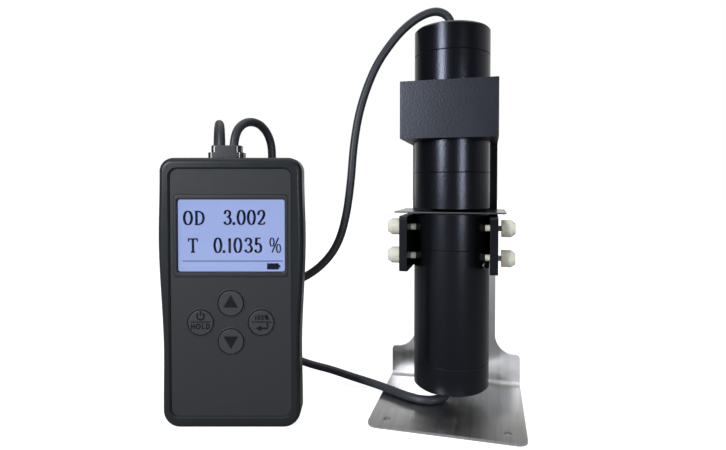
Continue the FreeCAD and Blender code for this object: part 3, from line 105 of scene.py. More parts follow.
def make_cord(name, route):
    curve = bpy.data.curves.new(name, "CURVE")
    curve.dimensions = "3D"
    curve.resolution_u = 16
    curve.bevel_depth = 1.0
    curve.bevel_resolution = 7
    curve.use_fill_caps = True
    spline = curve.splines.new("NURBS")
    spline.points.add(len(route) - 1)
    for point, place in zip(spline.points, route):
        point.co = (*place, 1)
        point.radius = CORD_DIAMETER / 2
    spline.order_u = 3
    spline.use_endpoint_u = True
    cord = link(bpy.data.objects.new(name + "_jacket", curve))
    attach(cord, "instrument")
    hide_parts(name)
    return cord


cords = [make_cord("upper_cord", UPPER_CORD), make_cord("lower_cord", LOWER_CORD)]
print("cord points", len(UPPER_CORD), len(LOWER_CORD))

# %% [markdown]
# ## Bench
# An instrument like this is shown on a white bench. A brightly lit bench would also shine in the steel foot
# and grey the black parts, so this one is a grey sheet that glows white for the camera alone. The patch
# under the foot doesn't glow: it is a painted shadow beneath the foot, so the two screw holes in it look
# dark.

# %% Bench
BENCH_RADIUS = 4.0
BENCH_TONE = 0.25
BENCH_GLOW = 0.85
# painted shadow: inside this box under the foot the bench doesn't glow
FOOT_SHADOW_BOX = {"X": (0.0, 0.040), "Y": (-0.008, 0.036)}  # middle and reach of the patch that stays dark


def node(tree, kind, inputs=None, **settings):
    """Adds a node, sets its properties, then sets or links its inputs by name or number."""
    made = tree.nodes.new(kind)
    for key, value in settings.items():
        setattr(made, key, value)
    for key, value in (inputs or {}).items():
        if isinstance(value, bpy.types.NodeSocket):
            tree.links.new(value, made.inputs[key])
        else:
            made.inputs[key].default_value = value
    return made


def math_node(tree, operation, *values):
    return node(tree, "ShaderNodeMath", dict(enumerate(values)), operation=operation).outputs[0]


bench_mesh = bpy.data.meshes.new("bench")
shape = bmesh.new()
bmesh.ops.create_circle(shape, cap_ends=True, radius=BENCH_RADIUS, segments=96)
shape.to_mesh(bench_mesh)
shape.free()
bench = link(bpy.data.objects.new("bench", bench_mesh))
bench_paint = bpy.data.materials.new("bench_paint")
bench_paint.use_nodes = True
paint_tree = bench_paint.node_tree
bench_shader = paint_tree.nodes["Principled BSDF"]
for label, value in (("Base Color", (BENCH_TONE, BENCH_TONE, BENCH_TONE, 1)), ("Roughness", 0.9),
                     ("Specular IOR Level", 0.1), ("Emission Color", (1, 1, 1, 1))):
    bench_shader.inputs[label].default_value = value
on_bench = node(paint_tree, "ShaderNodeTexCoord").outputs["Object"]
along = node(paint_tree, "ShaderNodeSeparateXYZ", {0: on_bench}).outputs
# Painted shadow under the foot: the camera-only glow is cut off inside the box beneath the foot.
painted_foot_shadow = math_node(paint_tree, "MULTIPLY", *(
    math_node(paint_tree, "COMPARE", along[axis], middle, reach)
    for axis, (middle, reach) in FOOT_SHADOW_BOX.items()))
glow_around_foot_shadow = math_node(paint_tree, "MULTIPLY", math_node(paint_tree, "SUBTRACT", 1.0, painted_foot_shadow), BENCH_GLOW)
seen_by_camera = node(paint_tree, "ShaderNodeLightPath").outputs["Is Camera Ray"]
paint_tree.links.new(math_node(paint_tree, "MULTIPLY", seen_by_camera, glow_around_foot_shadow),
                     bench_shader.inputs["Emission Strength"])
bench_mesh.materials.append(bench_paint)
print("bench faces", len(bench_mesh.polygons))

# %% [markdown]
# ## Surroundings
# Black parts are drawn by what they mirror. The world is bright behind and above the object and dim in
# front, so black parts keep a pale rim at their edges and stay dark where they face the viewer. The camera
# itself sees plain white. Cards and lamps could do the same, but a world has no edges that show.

# %% Surroundings
def ramp(tree, value, start, end, low, high):
    """Goes smoothly from low to high while the value goes from start to end."""
    return node(tree, "ShaderNodeMapRange",
                {"Value": value, "From Min": start, "From Max": end, "To Min": low, "To Max": high},
                interpolation_type="SMOOTHSTEP").outputs[0]


world = bpy.data.worlds.new("white_room")
world.use_nodes = True
room = world.node_tree
room.nodes.clear()
way_out = node(room, "ShaderNodeTexCoord").outputs["Generated"]
TOWARDS_WALL = (0.30, 0.95, 0.0)  # the wall stands behind the object, a little to its right
backward = node(room, "ShaderNodeVectorMath", {0: way_out, 1: TOWARDS_WALL},
                operation="DOT_PRODUCT").outputs["Value"]
upward = node(room, "ShaderNodeSeparateXYZ", {0: way_out}).outputs["Z"]
behind = ramp(room, backward, -0.25, 0.60, 0.05, 0.9)  # dim in front, bright behind
wall_top = ramp(room, upward, 0.405, 0.445, 1.0, 0.2)  # the bright wall ends at this height
above = ramp(room, upward, 0.55, 0.90, 0.0, 2.4)  # a soft glow from overhead
glow = math_node(room, "MAXIMUM", math_node(room, "MULTIPLY", behind, wall_top), above)
seen = node(room, "ShaderNodeMix", {
    0: node(room, "ShaderNodeLightPath").outputs["Is Camera Ray"], 2: glow, 3: 1.0}).outputs[0]
wall = node(room, "ShaderNodeBackground", {"Color": (1, 1, 1, 1), "Strength": seen})
node(room, "ShaderNodeOutputWorld", {"Surface": wall.outputs[0]})
bpy.context.scene.world = world
bpy.context.scene.view_settings.view_transform = "Standard"
print("world nodes", len(room.nodes))

# %% [markdown]
# ## Lights
# Two soft lights on either side of the viewer draw the upright highlights on the round probes. A highlight
# has the shape of the light that makes it, so the left one is tall and wide and the right one is a small
# square further down.

# %% Lights
PROBE_MIDDLE = Vector((0, 0, 0.16))


def soft_light(name, place, width, height, power, tint):
    data = bpy.data.lights.new(name, "AREA")
    data.shape = "RECTANGLE"
    data.size, data.size_y = width, height
    data.energy = power
    data.color = tint
    lamp = link(bpy.data.objects.new(name, data))
    lamp.location = place
    lamp.rotation_euler = (PROBE_MIDDLE - Vector(place)).to_track_quat("-Z", "Y").to_euler()
    return lamp


soft_light("left_strip", (-0.43, -0.87, 0.38), width=0.22, height=0.34, power=17.0, tint=(0.90, 0.92, 1.0))
soft_light("right_strip", (0.50, -0.71, 0.185), width=0.17, height=0.17, power=4.6, tint=(0.90, 0.94, 1.0))

# %% [markdown]
# ## Finishes shared by many materials
# Moulded plastic, blasted and anodised metal and rubber all share one thing: a fine grain that breaks up
# colour, gloss and surface at the same time. One shader group makes that grain from two noises, and each
# material places the group with its own colour and sizes. A second group makes the long parallel scratches
# of brushed steel by stretching a noise along the sheet.

# %% Grain and brushing groups
def shader_group(name, inputs, outputs):
    group = bpy.data.node_groups.new(name, "ShaderNodeTree")
    for label, kind, value in inputs:
        socket = group.interface.new_socket(label, in_out="INPUT", socket_type=kind)
        socket.default_value = value
    for label, kind in outputs:
        group.interface.new_socket(label, in_out="OUTPUT", socket_type=kind)
    return group, node(group, "NodeGroupInput").outputs, node(group, "NodeGroupOutput").inputs


def around_one(tree, noise, spread):
    """Half the spread below 1 to half above it, as the noise goes from 0 to 1."""
    centred = math_node(tree, "SUBTRACT", noise, 0.5)
    return math_node(tree, "MULTIPLY_ADD", centred, spread, 1.0)


LOOK_INPUTS = [("Tone", "NodeSocketColor", (0.5, 0.5, 0.5, 1)), ("Spread", "NodeSocketFloat", 0.3),
               ("Size", "NodeSocketFloat", 2000.0), ("Gloss", "NodeSocketFloat", 0.5),
               ("Gloss Spread", "NodeSocketFloat", 0.2)]
LOOK_OUTPUTS = [("Color", "NodeSocketColor"), ("Roughness", "NodeSocketFloat"),
                ("Height", "NodeSocketFloat")]


def fill_look(group, given, result, fine, broad):
    """Colour follows both noises, gloss follows the broad one and height the fine one."""
    mixed = node(group, "ShaderNodeMix", {0: 0.5, 2: fine, 3: broad}).outputs[0]
    tone = node(group, "ShaderNodeVectorMath",
                {0: given["Tone"], "Scale": around_one(group, mixed, given["Spread"])},
                operation="SCALE")
    rough = math_node(group, "MULTIPLY", given["Gloss"], around_one(group, broad, given["Gloss Spread"]))
    group.links.new(tone.outputs[0], result["Color"])
    group.links.new(rough, result["Roughness"])
    group.links.new(fine, result["Height"])


grain, given, result = shader_group("grain", LOOK_INPUTS, LOOK_OUTPUTS)
place = node(grain, "ShaderNodeTexCoord").outputs["Object"]
fine = node(grain, "ShaderNodeTexNoise", {"Vector": place, "Scale": given["Size"], "Detail": 2.0})
broad = node(grain, "ShaderNodeTexNoise",
             {"Vector": place, "Scale": math_node(grain, "MULTIPLY", given["Size"], 0.03), "Detail": 3.0})
fill_look(grain, given, result, fine.outputs["Fac"], broad.outputs["Fac"])

brushed, given, result = shader_group("brushed", LOOK_INPUTS, LOOK_OUTPUTS)
place = node(brushed, "ShaderNodeTexCoord").outputs["Object"]
ALONG_SHEET = (1.0, 0.012, 0.012)  # a scratch is about eighty times as long as it is wide
drawn_out = node(brushed, "ShaderNodeMapping", {"Vector": place, "Scale": ALONG_SHEET}).outputs[0]
fine = node(brushed, "ShaderNodeTexNoise", {"Vector": drawn_out, "Scale": given["Size"], "Detail": 3.0})
broad = node(brushed, "ShaderNodeTexNoise",
             {"Vector": drawn_out, "Scale": math_node(brushed, "MULTIPLY", given["Size"], 0.12),
              "Detail": 2.0})
fill_look(brushed, given, result, fine.outputs["Fac"], broad.outputs["Fac"])
print("shared looks", grain.name, brushed.name)

# %% [markdown]
# ## Materials
# Every finish is a row in one table: its colour and gloss, then the size of the grain, how much colour and
# gloss vary with it, and how deep it is. The shared look is the grain, unless a row asks for brushing. What
# makes a finish special, such as metal or clear plastic, is set on the shader itself.

# %% Materials
# Size is in grains per metre and depth in metres.
def finish(name, tone, gloss, size=2500.0, spread=0.25, gloss_spread=0.3, depth=0.00002,
           bump=0.3, look=grain, **shader_values):
    material = bpy.data.materials.new(name)
    material.use_nodes = True
    tree = material.node_tree
    shader = tree.nodes["Principled BSDF"]
    skin = node(tree, "ShaderNodeGroup", node_tree=look)
    for label, value in (("Tone", (*tone, 1)), ("Spread", spread), ("Size", size),
                         ("Gloss", gloss), ("Gloss Spread", gloss_spread)):
        skin.inputs[label].default_value = value
    tree.links.new(skin.outputs["Color"], shader.inputs["Base Color"])
    tree.links.new(skin.outputs["Roughness"], shader.inputs["Roughness"])
    if bump:
        raised = node(tree, "ShaderNodeBump", {"Height": skin.outputs["Height"],
                                               "Strength": bump, "Distance": depth})
        tree.links.new(raised.outputs[0], shader.inputs["Normal"])
    for label, value in shader_values.items():
        shader.inputs[label.replace("_", " ")].default_value = value
    return material


METAL = {"Metallic": 1.0}
MATERIALS = {
    "black_anodised": finish("black_anodised", (0.0020, 0.0022, 0.0028), 0.25, size=1100,
                             spread=0.2, gloss_spread=0.1, depth=0.00008, bump=0.8,
                             Specular_IOR_Level=0.18, Specular_Tint=(0.78, 0.84, 1.0, 1)),
    "blasted_black": finish("blasted_black", (0.0038, 0.0041, 0.0054), 0.36, size=1000,
                            spread=0.9, depth=0.00006, bump=1.0, Specular_IOR_Level=0.24,
                            Specular_Tint=(0.80, 0.86, 1.0, 1)),
    "gland_rubber": finish("gland_rubber", (0.0030, 0.0034, 0.0038), 0.26, size=1800, bump=0.0,
                           Specular_IOR_Level=0.55),
    "black_plastic": finish("black_plastic", (0.015, 0.015, 0.016), 0.45),
    "circuit_board": finish("circuit_board", (0.010, 0.110, 0.035), 0.35, size=900),
    "led_epoxy": finish("led_epoxy", (0.95, 0.95, 0.92), 0.08, bump=0, Transmission_Weight=0.8, IOR=1.5),
    "optical_glass": finish("optical_glass", (0.97, 0.98, 0.98), 0.02, bump=0, spread=0.02,
                            Transmission_Weight=1.0, IOR=1.52),
    "black_screw": finish("black_screw", (0.010, 0.010, 0.011), 0.16, size=1500, bump=0.1),
    "metal_can": finish("metal_can", (0.62, 0.60, 0.54), 0.25, **METAL),
    "filter_glass": finish("filter_glass", (0.15, 0.55, 0.30), 0.03, bump=0, spread=0.05,
                           Transmission_Weight=0.9, IOR=1.52),
    "opal": finish("opal", (0.88, 0.88, 0.86), 0.30, spread=0.05, Subsurface_Weight=0.4),
    "stainless": finish("stainless", (0.49, 0.485, 0.475), 0.40, size=3000, spread=1.1,
                        gloss_spread=0.7, depth=0.000002, bump=0.4, look=brushed, Anisotropic=0.85,
                        Coat_Weight=1.0, Coat_Roughness=0.07, Coat_IOR=1.75, **METAL),
    "polished_steel": finish("polished_steel", (0.115, 0.118, 0.122), 0.24, size=3000, spread=0.1,
                             depth=0.000001, bump=0.1, look=brushed, **METAL),
    "steel_screw": finish("steel_screw", (0.50, 0.50, 0.49), 0.28, size=4000, **METAL),
    "nylon": finish("nylon", (0.41, 0.402, 0.33), 0.40, size=1500, spread=0.06, bump=0.1,
                    Subsurface_Weight=0.3, Subsurface_Scale=0.002, Specular_IOR_Level=0.25),
    "case_plastic": finish("case_plastic", (0.0080, 0.0093, 0.0100), 0.34, size=4000, depth=0.000012,
                           bump=0.25, Specular_IOR_Level=0.10),
    "fascia_film": finish("fascia_film", (0.0115, 0.0117, 0.0123), 0.58, size=5000, spread=0.12,
                          depth=0.00001, bump=0.2, Specular_IOR_Level=0.15),
    "clear_window": finish("clear_window", (0.98, 0.98, 0.98), 0.03, bump=0, spread=0.01,
                           Transmission_Weight=1.0, IOR=1.2),
    "lcd_panel": finish("lcd_panel", (0.006, 0.008, 0.012), 0.45, size=1200, spread=0.1, bump=0,
                        Specular_IOR_Level=0.1),
    "white_plastic": finish("white_plastic", (0.70, 0.70, 0.68), 0.45, spread=0.06),
    "connector_plastic": finish("connector_plastic", (0.78, 0.74, 0.62), 0.45, spread=0.06),
    "mat_silicone": finish("mat_silicone", (0.20, 0.20, 0.21), 0.60),
    "key_plastic": finish("key_plastic", (0.0175, 0.0178, 0.0186), 0.52, size=4500, spread=0.12,
                          depth=0.00001, bump=0.2, Specular_IOR_Level=0.15),
    "cell_jacket": finish("cell_jacket", (0.05, 0.12, 0.30), 0.28, size=700),
    "nickel": finish("nickel", (0.66, 0.63, 0.57), 0.22, **METAL),
    "cord_jacket": finish("cord_jacket", (0.0130, 0.0145, 0.0175), 0.45, size=2200, spread=0.2,
                          depth=0.00002, bump=0.2, Specular_IOR_Level=0.18),
    "bezel_plastic": finish("bezel_plastic", (0.0115, 0.0117, 0.0125), 0.50, size=4500, spread=0.12,
                            depth=0.00001, bump=0.2, Specular_IOR_Level=0.15),
    "display_ink": finish("display_ink", (0.002, 0.003, 0.018), 0.6, bump=0, Specular_IOR_Level=0.1),
    "legend_ink": finish("legend_ink", (0.002, 0.0021, 0.0024), 0.6, bump=0, Specular_IOR_Level=0.1),
}
print("materials", len(MATERIALS))

# %% [markdown]
# ## Direction of the brushing
# Brushing leaves scratches that all run the same way, up the post and along the foot, so a reflection in
# the sheet is smeared sideways. The shader smears it along its tangent, which is set across the stand. A
# clear coat on top keeps a faint sharp reflection, as the unscratched metal between the scratches does.

# %% Direction of the brushing
steel = MATERIALS["stainless"].node_tree
across = node(steel, "ShaderNodeCombineXYZ", {"X": 1.0, "Y": 0.0, "Z": 0.0})
steel.links.new(across.outputs[0], steel.nodes["Principled BSDF"].inputs["Tangent"])
print("light spreads along", tuple(across.inputs[i].default_value for i in range(3)))

# %% [markdown]
# ## Glow of the display
# The lit panel behind the display glows evenly, a little violet-blue. The glow is an emission colour with
# the same faint grain as the other finishes, so that it doesn't look like a flat sticker.

# %% Glow of the display
lcd = MATERIALS["lcd_panel"].node_tree
lcd_shader = lcd.nodes["Principled BSDF"]
lit = node(lcd, "ShaderNodeGroup", node_tree=grain)
for label, value in (("Tone", (0.325, 0.415, 0.755, 1)), ("Spread", 0.06), ("Size", 1500.0)):
    lit.inputs[label].default_value = value
lcd.links.new(lit.outputs["Color"], lcd_shader.inputs["Emission Color"])
lcd_shader.inputs["Emission Strength"].default_value = 1.0
print("display glows with", [round(tone, 3) for tone in lit.inputs["Tone"].default_value])

# %% [markdown]
# ## Dressing the solid parts
# Each solid part already names the kind of finish it has, so a loop hands out the materials. Two parts look
# different from others of their kind: the sample plate is polished rather than brushed, and the upper block
# was blasted with grit before it was blackened.

# %% Parts and cords get their finishes
SPECIAL = {"sample_plate": "polished_steel", "upper_block": "blasted_black"}
for part in frame["record"]["subparts"]:
    mesh = frame["nodes"][part["node"]].data
    mesh.materials.clear()
    mesh.materials.append(MATERIALS[SPECIAL.get(part["node"], part["material_slot"])])
for cord in cords:
    cord.data.materials.append(MATERIALS["cord_jacket"])

# %% [markdown]
# ## Marks on the display and the keys
# The display shows two rows of readings with thick upright and thin level strokes, as a broad pen writes
# them. The same pen with one even width writes the plain legends on the keys. Each character is a few
# chosen points in a box one unit wide and high. A text object would be quicker, but has no such letters
# built in.

# %% Characters as strokes
ROUND = [(0.5, 1), (0.82, 0.9), (1, 0.5), (0.82, 0.1), (0.5, 0), (0.18, 0.1), (0, 0.5), (0.18, 0.9)]
# A stroke is (points, how the pen runs): "bend" is smooth, "loop" is smooth and closed, "line" is
# straight, and "foot" is a straight serif that only the display's letters have.
LETTERS = {
    "0": [(ROUND, "loop")], "O": [(ROUND, "loop")],
    "1": [([(0.55, 0), (0.55, 1)], "line"), ([(0.1, 0.80), (0.38, 0.86), (0.55, 1)], "bend"),
          ([(0.1, 0), (1, 0)], "foot")],
    "2": [([(0.03, 0.72), (0.12, 0.9), (0.45, 1), (0.8, 0.93), (0.92, 0.72), (0.72, 0.45),
            (0.3, 0.18), (0.02, 0.0)], "bend"), ([(0.02, 0), (0.9, 0.02), (0.98, 0.17)], "line")],
    "3": [([(0.05, 0.8), (0.2, 0.95), (0.5, 1), (0.82, 0.9), (0.86, 0.7), (0.65, 0.56),
            (0.35, 0.53)], "bend"),
          ([(0.35, 0.53), (0.72, 0.5), (0.98, 0.3), (0.85, 0.08), (0.45, 0), (0.12, 0.06),
            (0.0, 0.2)], "bend")],
    "5": [([(0.92, 1), (0.2, 1)], "line"), ([(0.2, 1), (0.12, 0.52)], "line"),
          ([(0.12, 0.52), (0.45, 0.63), (0.85, 0.53), (0.98, 0.3), (0.82, 0.07), (0.4, 0),
            (0.1, 0.06), (0.0, 0.2)], "bend")],
    "T": [([(0, 1), (1, 1)], "line"), ([(0.5, 1), (0.5, 0)], "line"), ([(0.25, 0), (0.75, 0)], "foot"),
          ([(0.02, 1), (0.0, 0.8)], "foot"), ([(0.98, 1), (1, 0.8)], "foot")],
    "D": [([(0.2, 0), (0.2, 1)], "line"),
          ([(0.2, 1), (0.5, 0.99), (0.86, 0.84), (1, 0.5), (0.86, 0.16), (0.5, 0.01), (0.2, 0)], "bend"),
          ([(0, 1), (0.3, 1)], "foot"), ([(0, 0), (0.3, 0)], "foot")],
    "H": [([(0.05, 0), (0.05, 1)], "line"), ([(0.95, 0), (0.95, 1)], "line"),
          ([(0.05, 0.5), (0.95, 0.5)], "line")],
    "L": [([(0.1, 1), (0.1, 0)], "line"), ([(0.1, 0), (0.95, 0)], "line")],
    "%": [([(0.38 * x, 0.44 + 0.56 * y) for x, y in ROUND], "loop"),
          ([(0.62 + 0.38 * x, 0.56 * y) for x, y in ROUND], "loop"), ([(0.80, 1), (0.18, 0)], "line")],
}
print("characters", "".join(LETTERS))

# %% [markdown]
# ## A broad pen
# The pen runs smoothly through a stroke's points and leaves a raised ribbon. A broad pen held level draws
# thick uprights and thin level strokes, so the ribbon's width follows the direction in which the pen moves.

# %% A pen that follows a stroke
def smooth_run(points, run):
    """Closely spaced points of a Catmull-Rom curve through the given ones."""
    if run in ("line", "foot"):
        return points, False
    closed = run == "loop"
    count = len(points)
    found = []
    for i in range(count if closed else count - 1):
        a, b, c, d = (Vector(points[(i + k) % count if closed else min(max(i + k, 0), count - 1)])
                      for k in (-1, 0, 1, 2))
        for step in range(5):
            t = step / 5
            found.append(0.5 * (2 * b + (c - a) * t + (2 * a - 5 * b + 4 * c - d) * t * t
                                + (3 * b - a - 3 * c + d) * t ** 3))
    if not closed:
        found.append(Vector(points[-1]))
    return found, closed


def pen_stroke(shape, points, closed, thin, thick, front, back):
    """A raised ribbon along the points, thick where it runs upright and thin where it runs level."""
    count = len(points)
    points = [Vector(p) for p in points]
    rows = []
    for i, point in enumerate(points):
        before = points[i - 1] if closed or i else point
        after = points[(i + 1) % count] if closed or i < count - 1 else point
        way = (after - before).normalized()
        width = thin + (thick - thin) * abs(way.y) ** 1.4
        side = Vector((way.y, -way.x)) * width / 2
        if not closed and i == 0:
            point = point - way * thin / 2 * (abs(way.x) < 0.5)
        rows.append([shape.verts.new((p.x, y, p.y)) for y in (front, back)
                     for p in (point - side, point + side)])
    pairs = list(zip(rows, rows[1:] + rows[:1])) if closed else list(zip(rows, rows[1:]))
    for a, b in pairs:
        for p, q in ((0, 1), (1, 3), (3, 2), (2, 0)):
            shape.faces.new((a[p], a[q], b[q], b[p]))
    if not closed:
        for row in (rows[0], rows[-1]):
            shape.faces.new((row[0], row[1], row[3], row[2]))


print("points round an O", len(smooth_run(ROUND, "loop")[0]))

# %% [markdown]
# ## Placing marks on the meter
# The meter is turned a little to face the viewer, so its marks are drawn flat in its own axes first: x from
# the middle of its face, z up from the bench and y into the case, all in millimetres. One matrix then sets
# the finished shape on the meter, and the object itself stays unturned.

# %% From a drawing to a piece
METER_PLACE = (-0.1144, -0.0682, 0)
METER_TURN = math.radians(14.6)
METER = Matrix.Translation(METER_PLACE) @ Matrix.Rotation(METER_TURN, 4, "Z")


def write(shape, letter, x0, x1, z0, z1, thin, thick, front, back, serifs=True):
    """One character in the box from x0, z0 to x1, z1, in millimetres on the meter's face."""
    if letter == ".":
        x0, x1, z1 = (x0 + x1 - thick * 1.1) / 2, (x0 + x1 + thick * 1.1) / 2, z0 + thick * 1.1
        middle = (z0 + z1) / 2
        pen_stroke(shape, [(x0, middle), (x1, middle)], False, thick * 1.1, thick * 1.1, front, back)
        return
    low = Vector((x0 + thick / 2, z0 + thin / 2))
    size = Vector((x1 - x0 - thick, z1 - z0 - thin))
    for points, run in LETTERS[letter]:
        if run == "foot" and not serifs:
            continue
        placed = [(low.x + p[0] * size.x, low.y + p[1] * size.y) for p in points]
        dense, closed = smooth_run(placed, run)
        pen = (thin, thin) if run == "foot" else (thin, thick)
        pen_stroke(shape, dense, closed, *pen, front, back)


def flat_piece(shape, corners, front, back):
    """A raised flat shape with the given corners."""
    near = [shape.verts.new((x, front, z)) for x, z in corners]
    far = [shape.verts.new((x, back, z)) for x, z in corners]
    shape.faces.new(near)
    shape.faces.new(far)
    for i in range(len(corners)):
        k = (i + 1) % len(corners)
        shape.faces.new((near[i], near[k], far[k], far[i]))


def set_on_meter(shape, name, material, body):
    """Turns a shape drawn in millimetres into a piece that rides on a body."""
    bmesh.ops.scale(shape, vec=(0.001, 0.001, 0.001), verts=shape.verts)
    bmesh.ops.transform(shape, matrix=METER, verts=shape.verts)
    bmesh.ops.recalc_face_normals(shape, faces=shape.faces)
    mesh = bpy.data.meshes.new(name)
    shape.to_mesh(mesh)
    shape.free()
    mesh.materials.append(material)
    piece = link(bpy.data.objects.new(name, mesh))
    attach(piece, body)
    return piece


print("meter turned by", round(math.degrees(METER_TURN), 1), "degrees")

# %% [markdown]
# ## Readings on the display
# The upper row gives the optical density and the lower row the share of light that comes through. In a
# liquid-crystal display the dark shapes lie in the glass, so these are a thin skin just over the lit panel.

# %% Readings on the display
INK = (4.24, 4.29)  # depth of the front and back of the skin, in millimetres behind the meter's face
INK_PEN = (0.75, 1.42)
PERCENT_PEN = (0.50, 0.85)
ROWS = {  # lowest and highest z, then each character with its left and right edge
    (112.2, 120.2): [("O", -27.2, -21.5), ("D", -21.3, -15.0)],
    (112.3, 120.7): [("3", -4.8, 0.1), (".", 0.4, 1.8), ("0", 2.6, 7.8), ("0", 8.3, 13.4),
                     ("2", 13.9, 18.9)],
    (96.8, 104.9): [("T", -24.9, -18.5)],
    (96.7, 105.3): [("0", -10.4, -5.3), (".", -5.2, -3.8), ("1", -2.8, 0.1), ("0", 0.7, 5.8),
                    ("3", 6.7, 11.7), ("5", 12.2, 16.9), ("%", 20.7, 27.4)],
}
shape = bmesh.new()
for (z0, z1), characters in ROWS.items():
    for letter, x0, x1 in characters:
        write(shape, letter, x0, x1, z0, z1, *(PERCENT_PEN if letter == "%" else INK_PEN), *INK)
flat_piece(shape, [(-27.5, 92.0), (28.1, 92.0), (28.1, 92.45), (-27.5, 92.45)], *INK)
flat_piece(shape, [(19.4, 87.5), (25.9, 87.5), (25.9, 88.4), (26.8, 88.4), (26.8, 90.1), (25.9, 90.1),
                   (25.9, 91.0), (19.4, 91.0)], *INK)
readings = set_on_meter(shape, "display_readings", MATERIALS["display_ink"], "instrument")
print("display readings", len(readings.data.polygons), "faces")

# %% [markdown]
# ## Legends on the keys
# The keys are printed in black ink: arrows up and down, power with hold, and full scale with enter. A print
# could be a texture, but a thin raised shape stays sharp at any distance and moves with its key.

# %% Legends on the keys
PRINT = (0.57, 0.62)  # depth of the front and back of the print


def even_line(shape, points, width):
    pen_stroke(shape, points, False, width, width, *PRINT)


def print_on_key(shape, name, key):
    set_on_meter(shape, name, MATERIALS["legend_ink"], key)


shape = bmesh.new()
flat_piece(shape, [(-4.1, 67.1), (4.1, 67.1), (0.0, 74.1)], *PRINT)
print_on_key(shape, "up_legend", "up_key")
shape = bmesh.new()
flat_piece(shape, [(-4.1, 51.1), (4.1, 51.1), (0.0, 44.2)], *PRINT)
print_on_key(shape, "down_legend", "down_key")

shape = bmesh.new()
arc = [(-16.6 + 2.0 * math.sin(math.radians(a)), 62.3 + 2.0 * math.cos(math.radians(a)))
       for a in range(35, 326, 15)]
even_line(shape, arc, 0.95)
even_line(shape, [(-16.6, 62.9), (-16.6, 65.2)], 0.95)
even_line(shape, [(-22.1, 59.1), (-11.1, 59.1)], 0.6)
for letter, x0, x1 in (("H", -22.0, -19.5), ("O", -19.3, -16.5), ("L", -16.2, -13.9), ("D", -14.0, -11.4)):
    write(shape, letter, x0, x1, 55.1, 58.2, 0.72, 0.72, *PRINT, serifs=False)
print_on_key(shape, "power_hold_legend", "power_key")

shape = bmesh.new()
for letter, x0, x1 in (("1", 13.2, 14.3), ("0", 14.6, 16.3), ("0", 16.6, 18.3), ("%", 18.5, 21.0)):
    write(shape, letter, x0, x1, 60.1, 63.1, 0.62, 0.62, *PRINT, serifs=False)
even_line(shape, [(11.4, 59.1), (22.4, 59.1)], 0.6)
even_line(shape, [(20.2, 57.9), (20.2, 55.6), (16.4, 55.6)], 1.25)
flat_piece(shape, [(13.6, 55.6), (16.6, 53.9), (16.6, 57.3)], *PRINT)
print_on_key(shape, "enter_legend", "enter_key")

# %% [markdown]
# ## Frame of the display and rings of the keys
# The moulded face has a low frame with rounded corners round the display and a low ring round each key.
# Both stand less than half a millimetre proud, yet they catch a line of light all the way round. Each is a
# skin stretched over a few outlines that lie at different depths.

# %% Raised edges on the face
def rounded_outline(half_x, z0, z1, radius, steps=8):
    """Points of a rounded rectangle, in millimetres on the meter's face."""
    found = []
    for x, z, start in ((half_x - radius, z1 - radius, 0), (radius - half_x, z1 - radius, 90),
                        (radius - half_x, z0 + radius, 180), (half_x - radius, z0 + radius, 270)):
        for step in range(steps + 1):
            angle = math.radians(start + 90 * step / steps)
            found.append((x + radius * math.cos(angle), z + radius * math.sin(angle)))
    return found


def circle_outline(x, z, radius, steps=64):
    """Points of a circle, in millimetres on the meter's face."""
    return [(x + radius * math.cos(math.tau * i / steps), z + radius * math.sin(math.tau * i / steps))
            for i in range(steps)]


def raised_ring(shape, outlines):
    """A closed ring over outlines given as (points, depth), from the inner edge round to the back."""
    rows = [[shape.verts.new((x, y, z)) for x, z in points] for points, y in outlines]
    for near, far in zip(rows, rows[1:] + rows[:1]):
        for i in range(len(near)):
            k = (i + 1) % len(near)
            shape.faces.new((near[i], near[k], far[k], far[i]))


# Each outline of the frame: half width, lowest z, highest z, corner radius, and depth.
FRAME_OUTLINES = (
    (29.45, 86.65, 126.45, 1.3, 2.95), (29.75, 86.3, 126.8, 1.5, 1.25), (30.2, 85.8, 127.3, 1.7, 0.97),
    (30.9, 84.7, 128.5, 2.1, 0.95), (31.4, 83.8, 129.3, 2.4, 1.19), (31.3, 83.9, 129.2, 2.3, 1.6),
    (29.6, 86.5, 126.6, 1.35, 2.98))
shape = bmesh.new()
raised_ring(shape, [(rounded_outline(*size), depth) for *size, depth in FRAME_OUTLINES])
set_on_meter(shape, "display_frame", MATERIALS["bezel_plastic"], "instrument")

# Each outline of a ring: radius and depth.
RING_OUTLINES = ((7.28, 1.3), (7.38, 1.02), (7.6, 0.97), (8.0, 1.19), (7.9, 1.5), (7.35, 1.5))
KEY_CENTRES = ((0.0, 69.3), (0.0, 48.1), (-16.7, 58.6), (16.7, 58.6))
shape = bmesh.new()
for x, z in KEY_CENTRES:
    raised_ring(shape, [(circle_outline(x, z, radius), depth) for radius, depth in RING_OUTLINES])
rings = set_on_meter(shape, "key_rings", MATERIALS["fascia_film"], "instrument")
print("key rings", len(KEY_CENTRES), "with", len(rings.data.polygons), "faces")

# %% [markdown]
# ## Screws
# Four screws hold the upper block, four hold the wings and four close the meter's case. They differ only in
# size, so one Geometry Nodes tree makes them all: a head with a sloped rim and a cross cut in it, on a
# shank, copied to each place and turned by a different amount, as a fitter would leave them.

# %% A tree that drives screws
def geometry_group(name, inputs):
    group = bpy.data.node_groups.new(name, "GeometryNodeTree")
    group.interface.new_socket("Geometry", in_out="INPUT", socket_type="NodeSocketGeometry")
    for label, kind, value in inputs:
        socket = group.interface.new_socket(label, in_out="INPUT", socket_type=kind)
        if value is not None:
            socket.default_value = value
    group.interface.new_socket("Geometry", in_out="OUTPUT", socket_type="NodeSocketGeometry")
    return group, node(group, "NodeGroupInput").outputs, node(group, "NodeGroupOutput").inputs


def moved(tree, geometry, z):
    offset = node(tree, "ShaderNodeCombineXYZ", {"Z": z}).outputs[0]
    return node(tree, "GeometryNodeTransform", {"Geometry": geometry, "Translation": offset}).outputs[0]


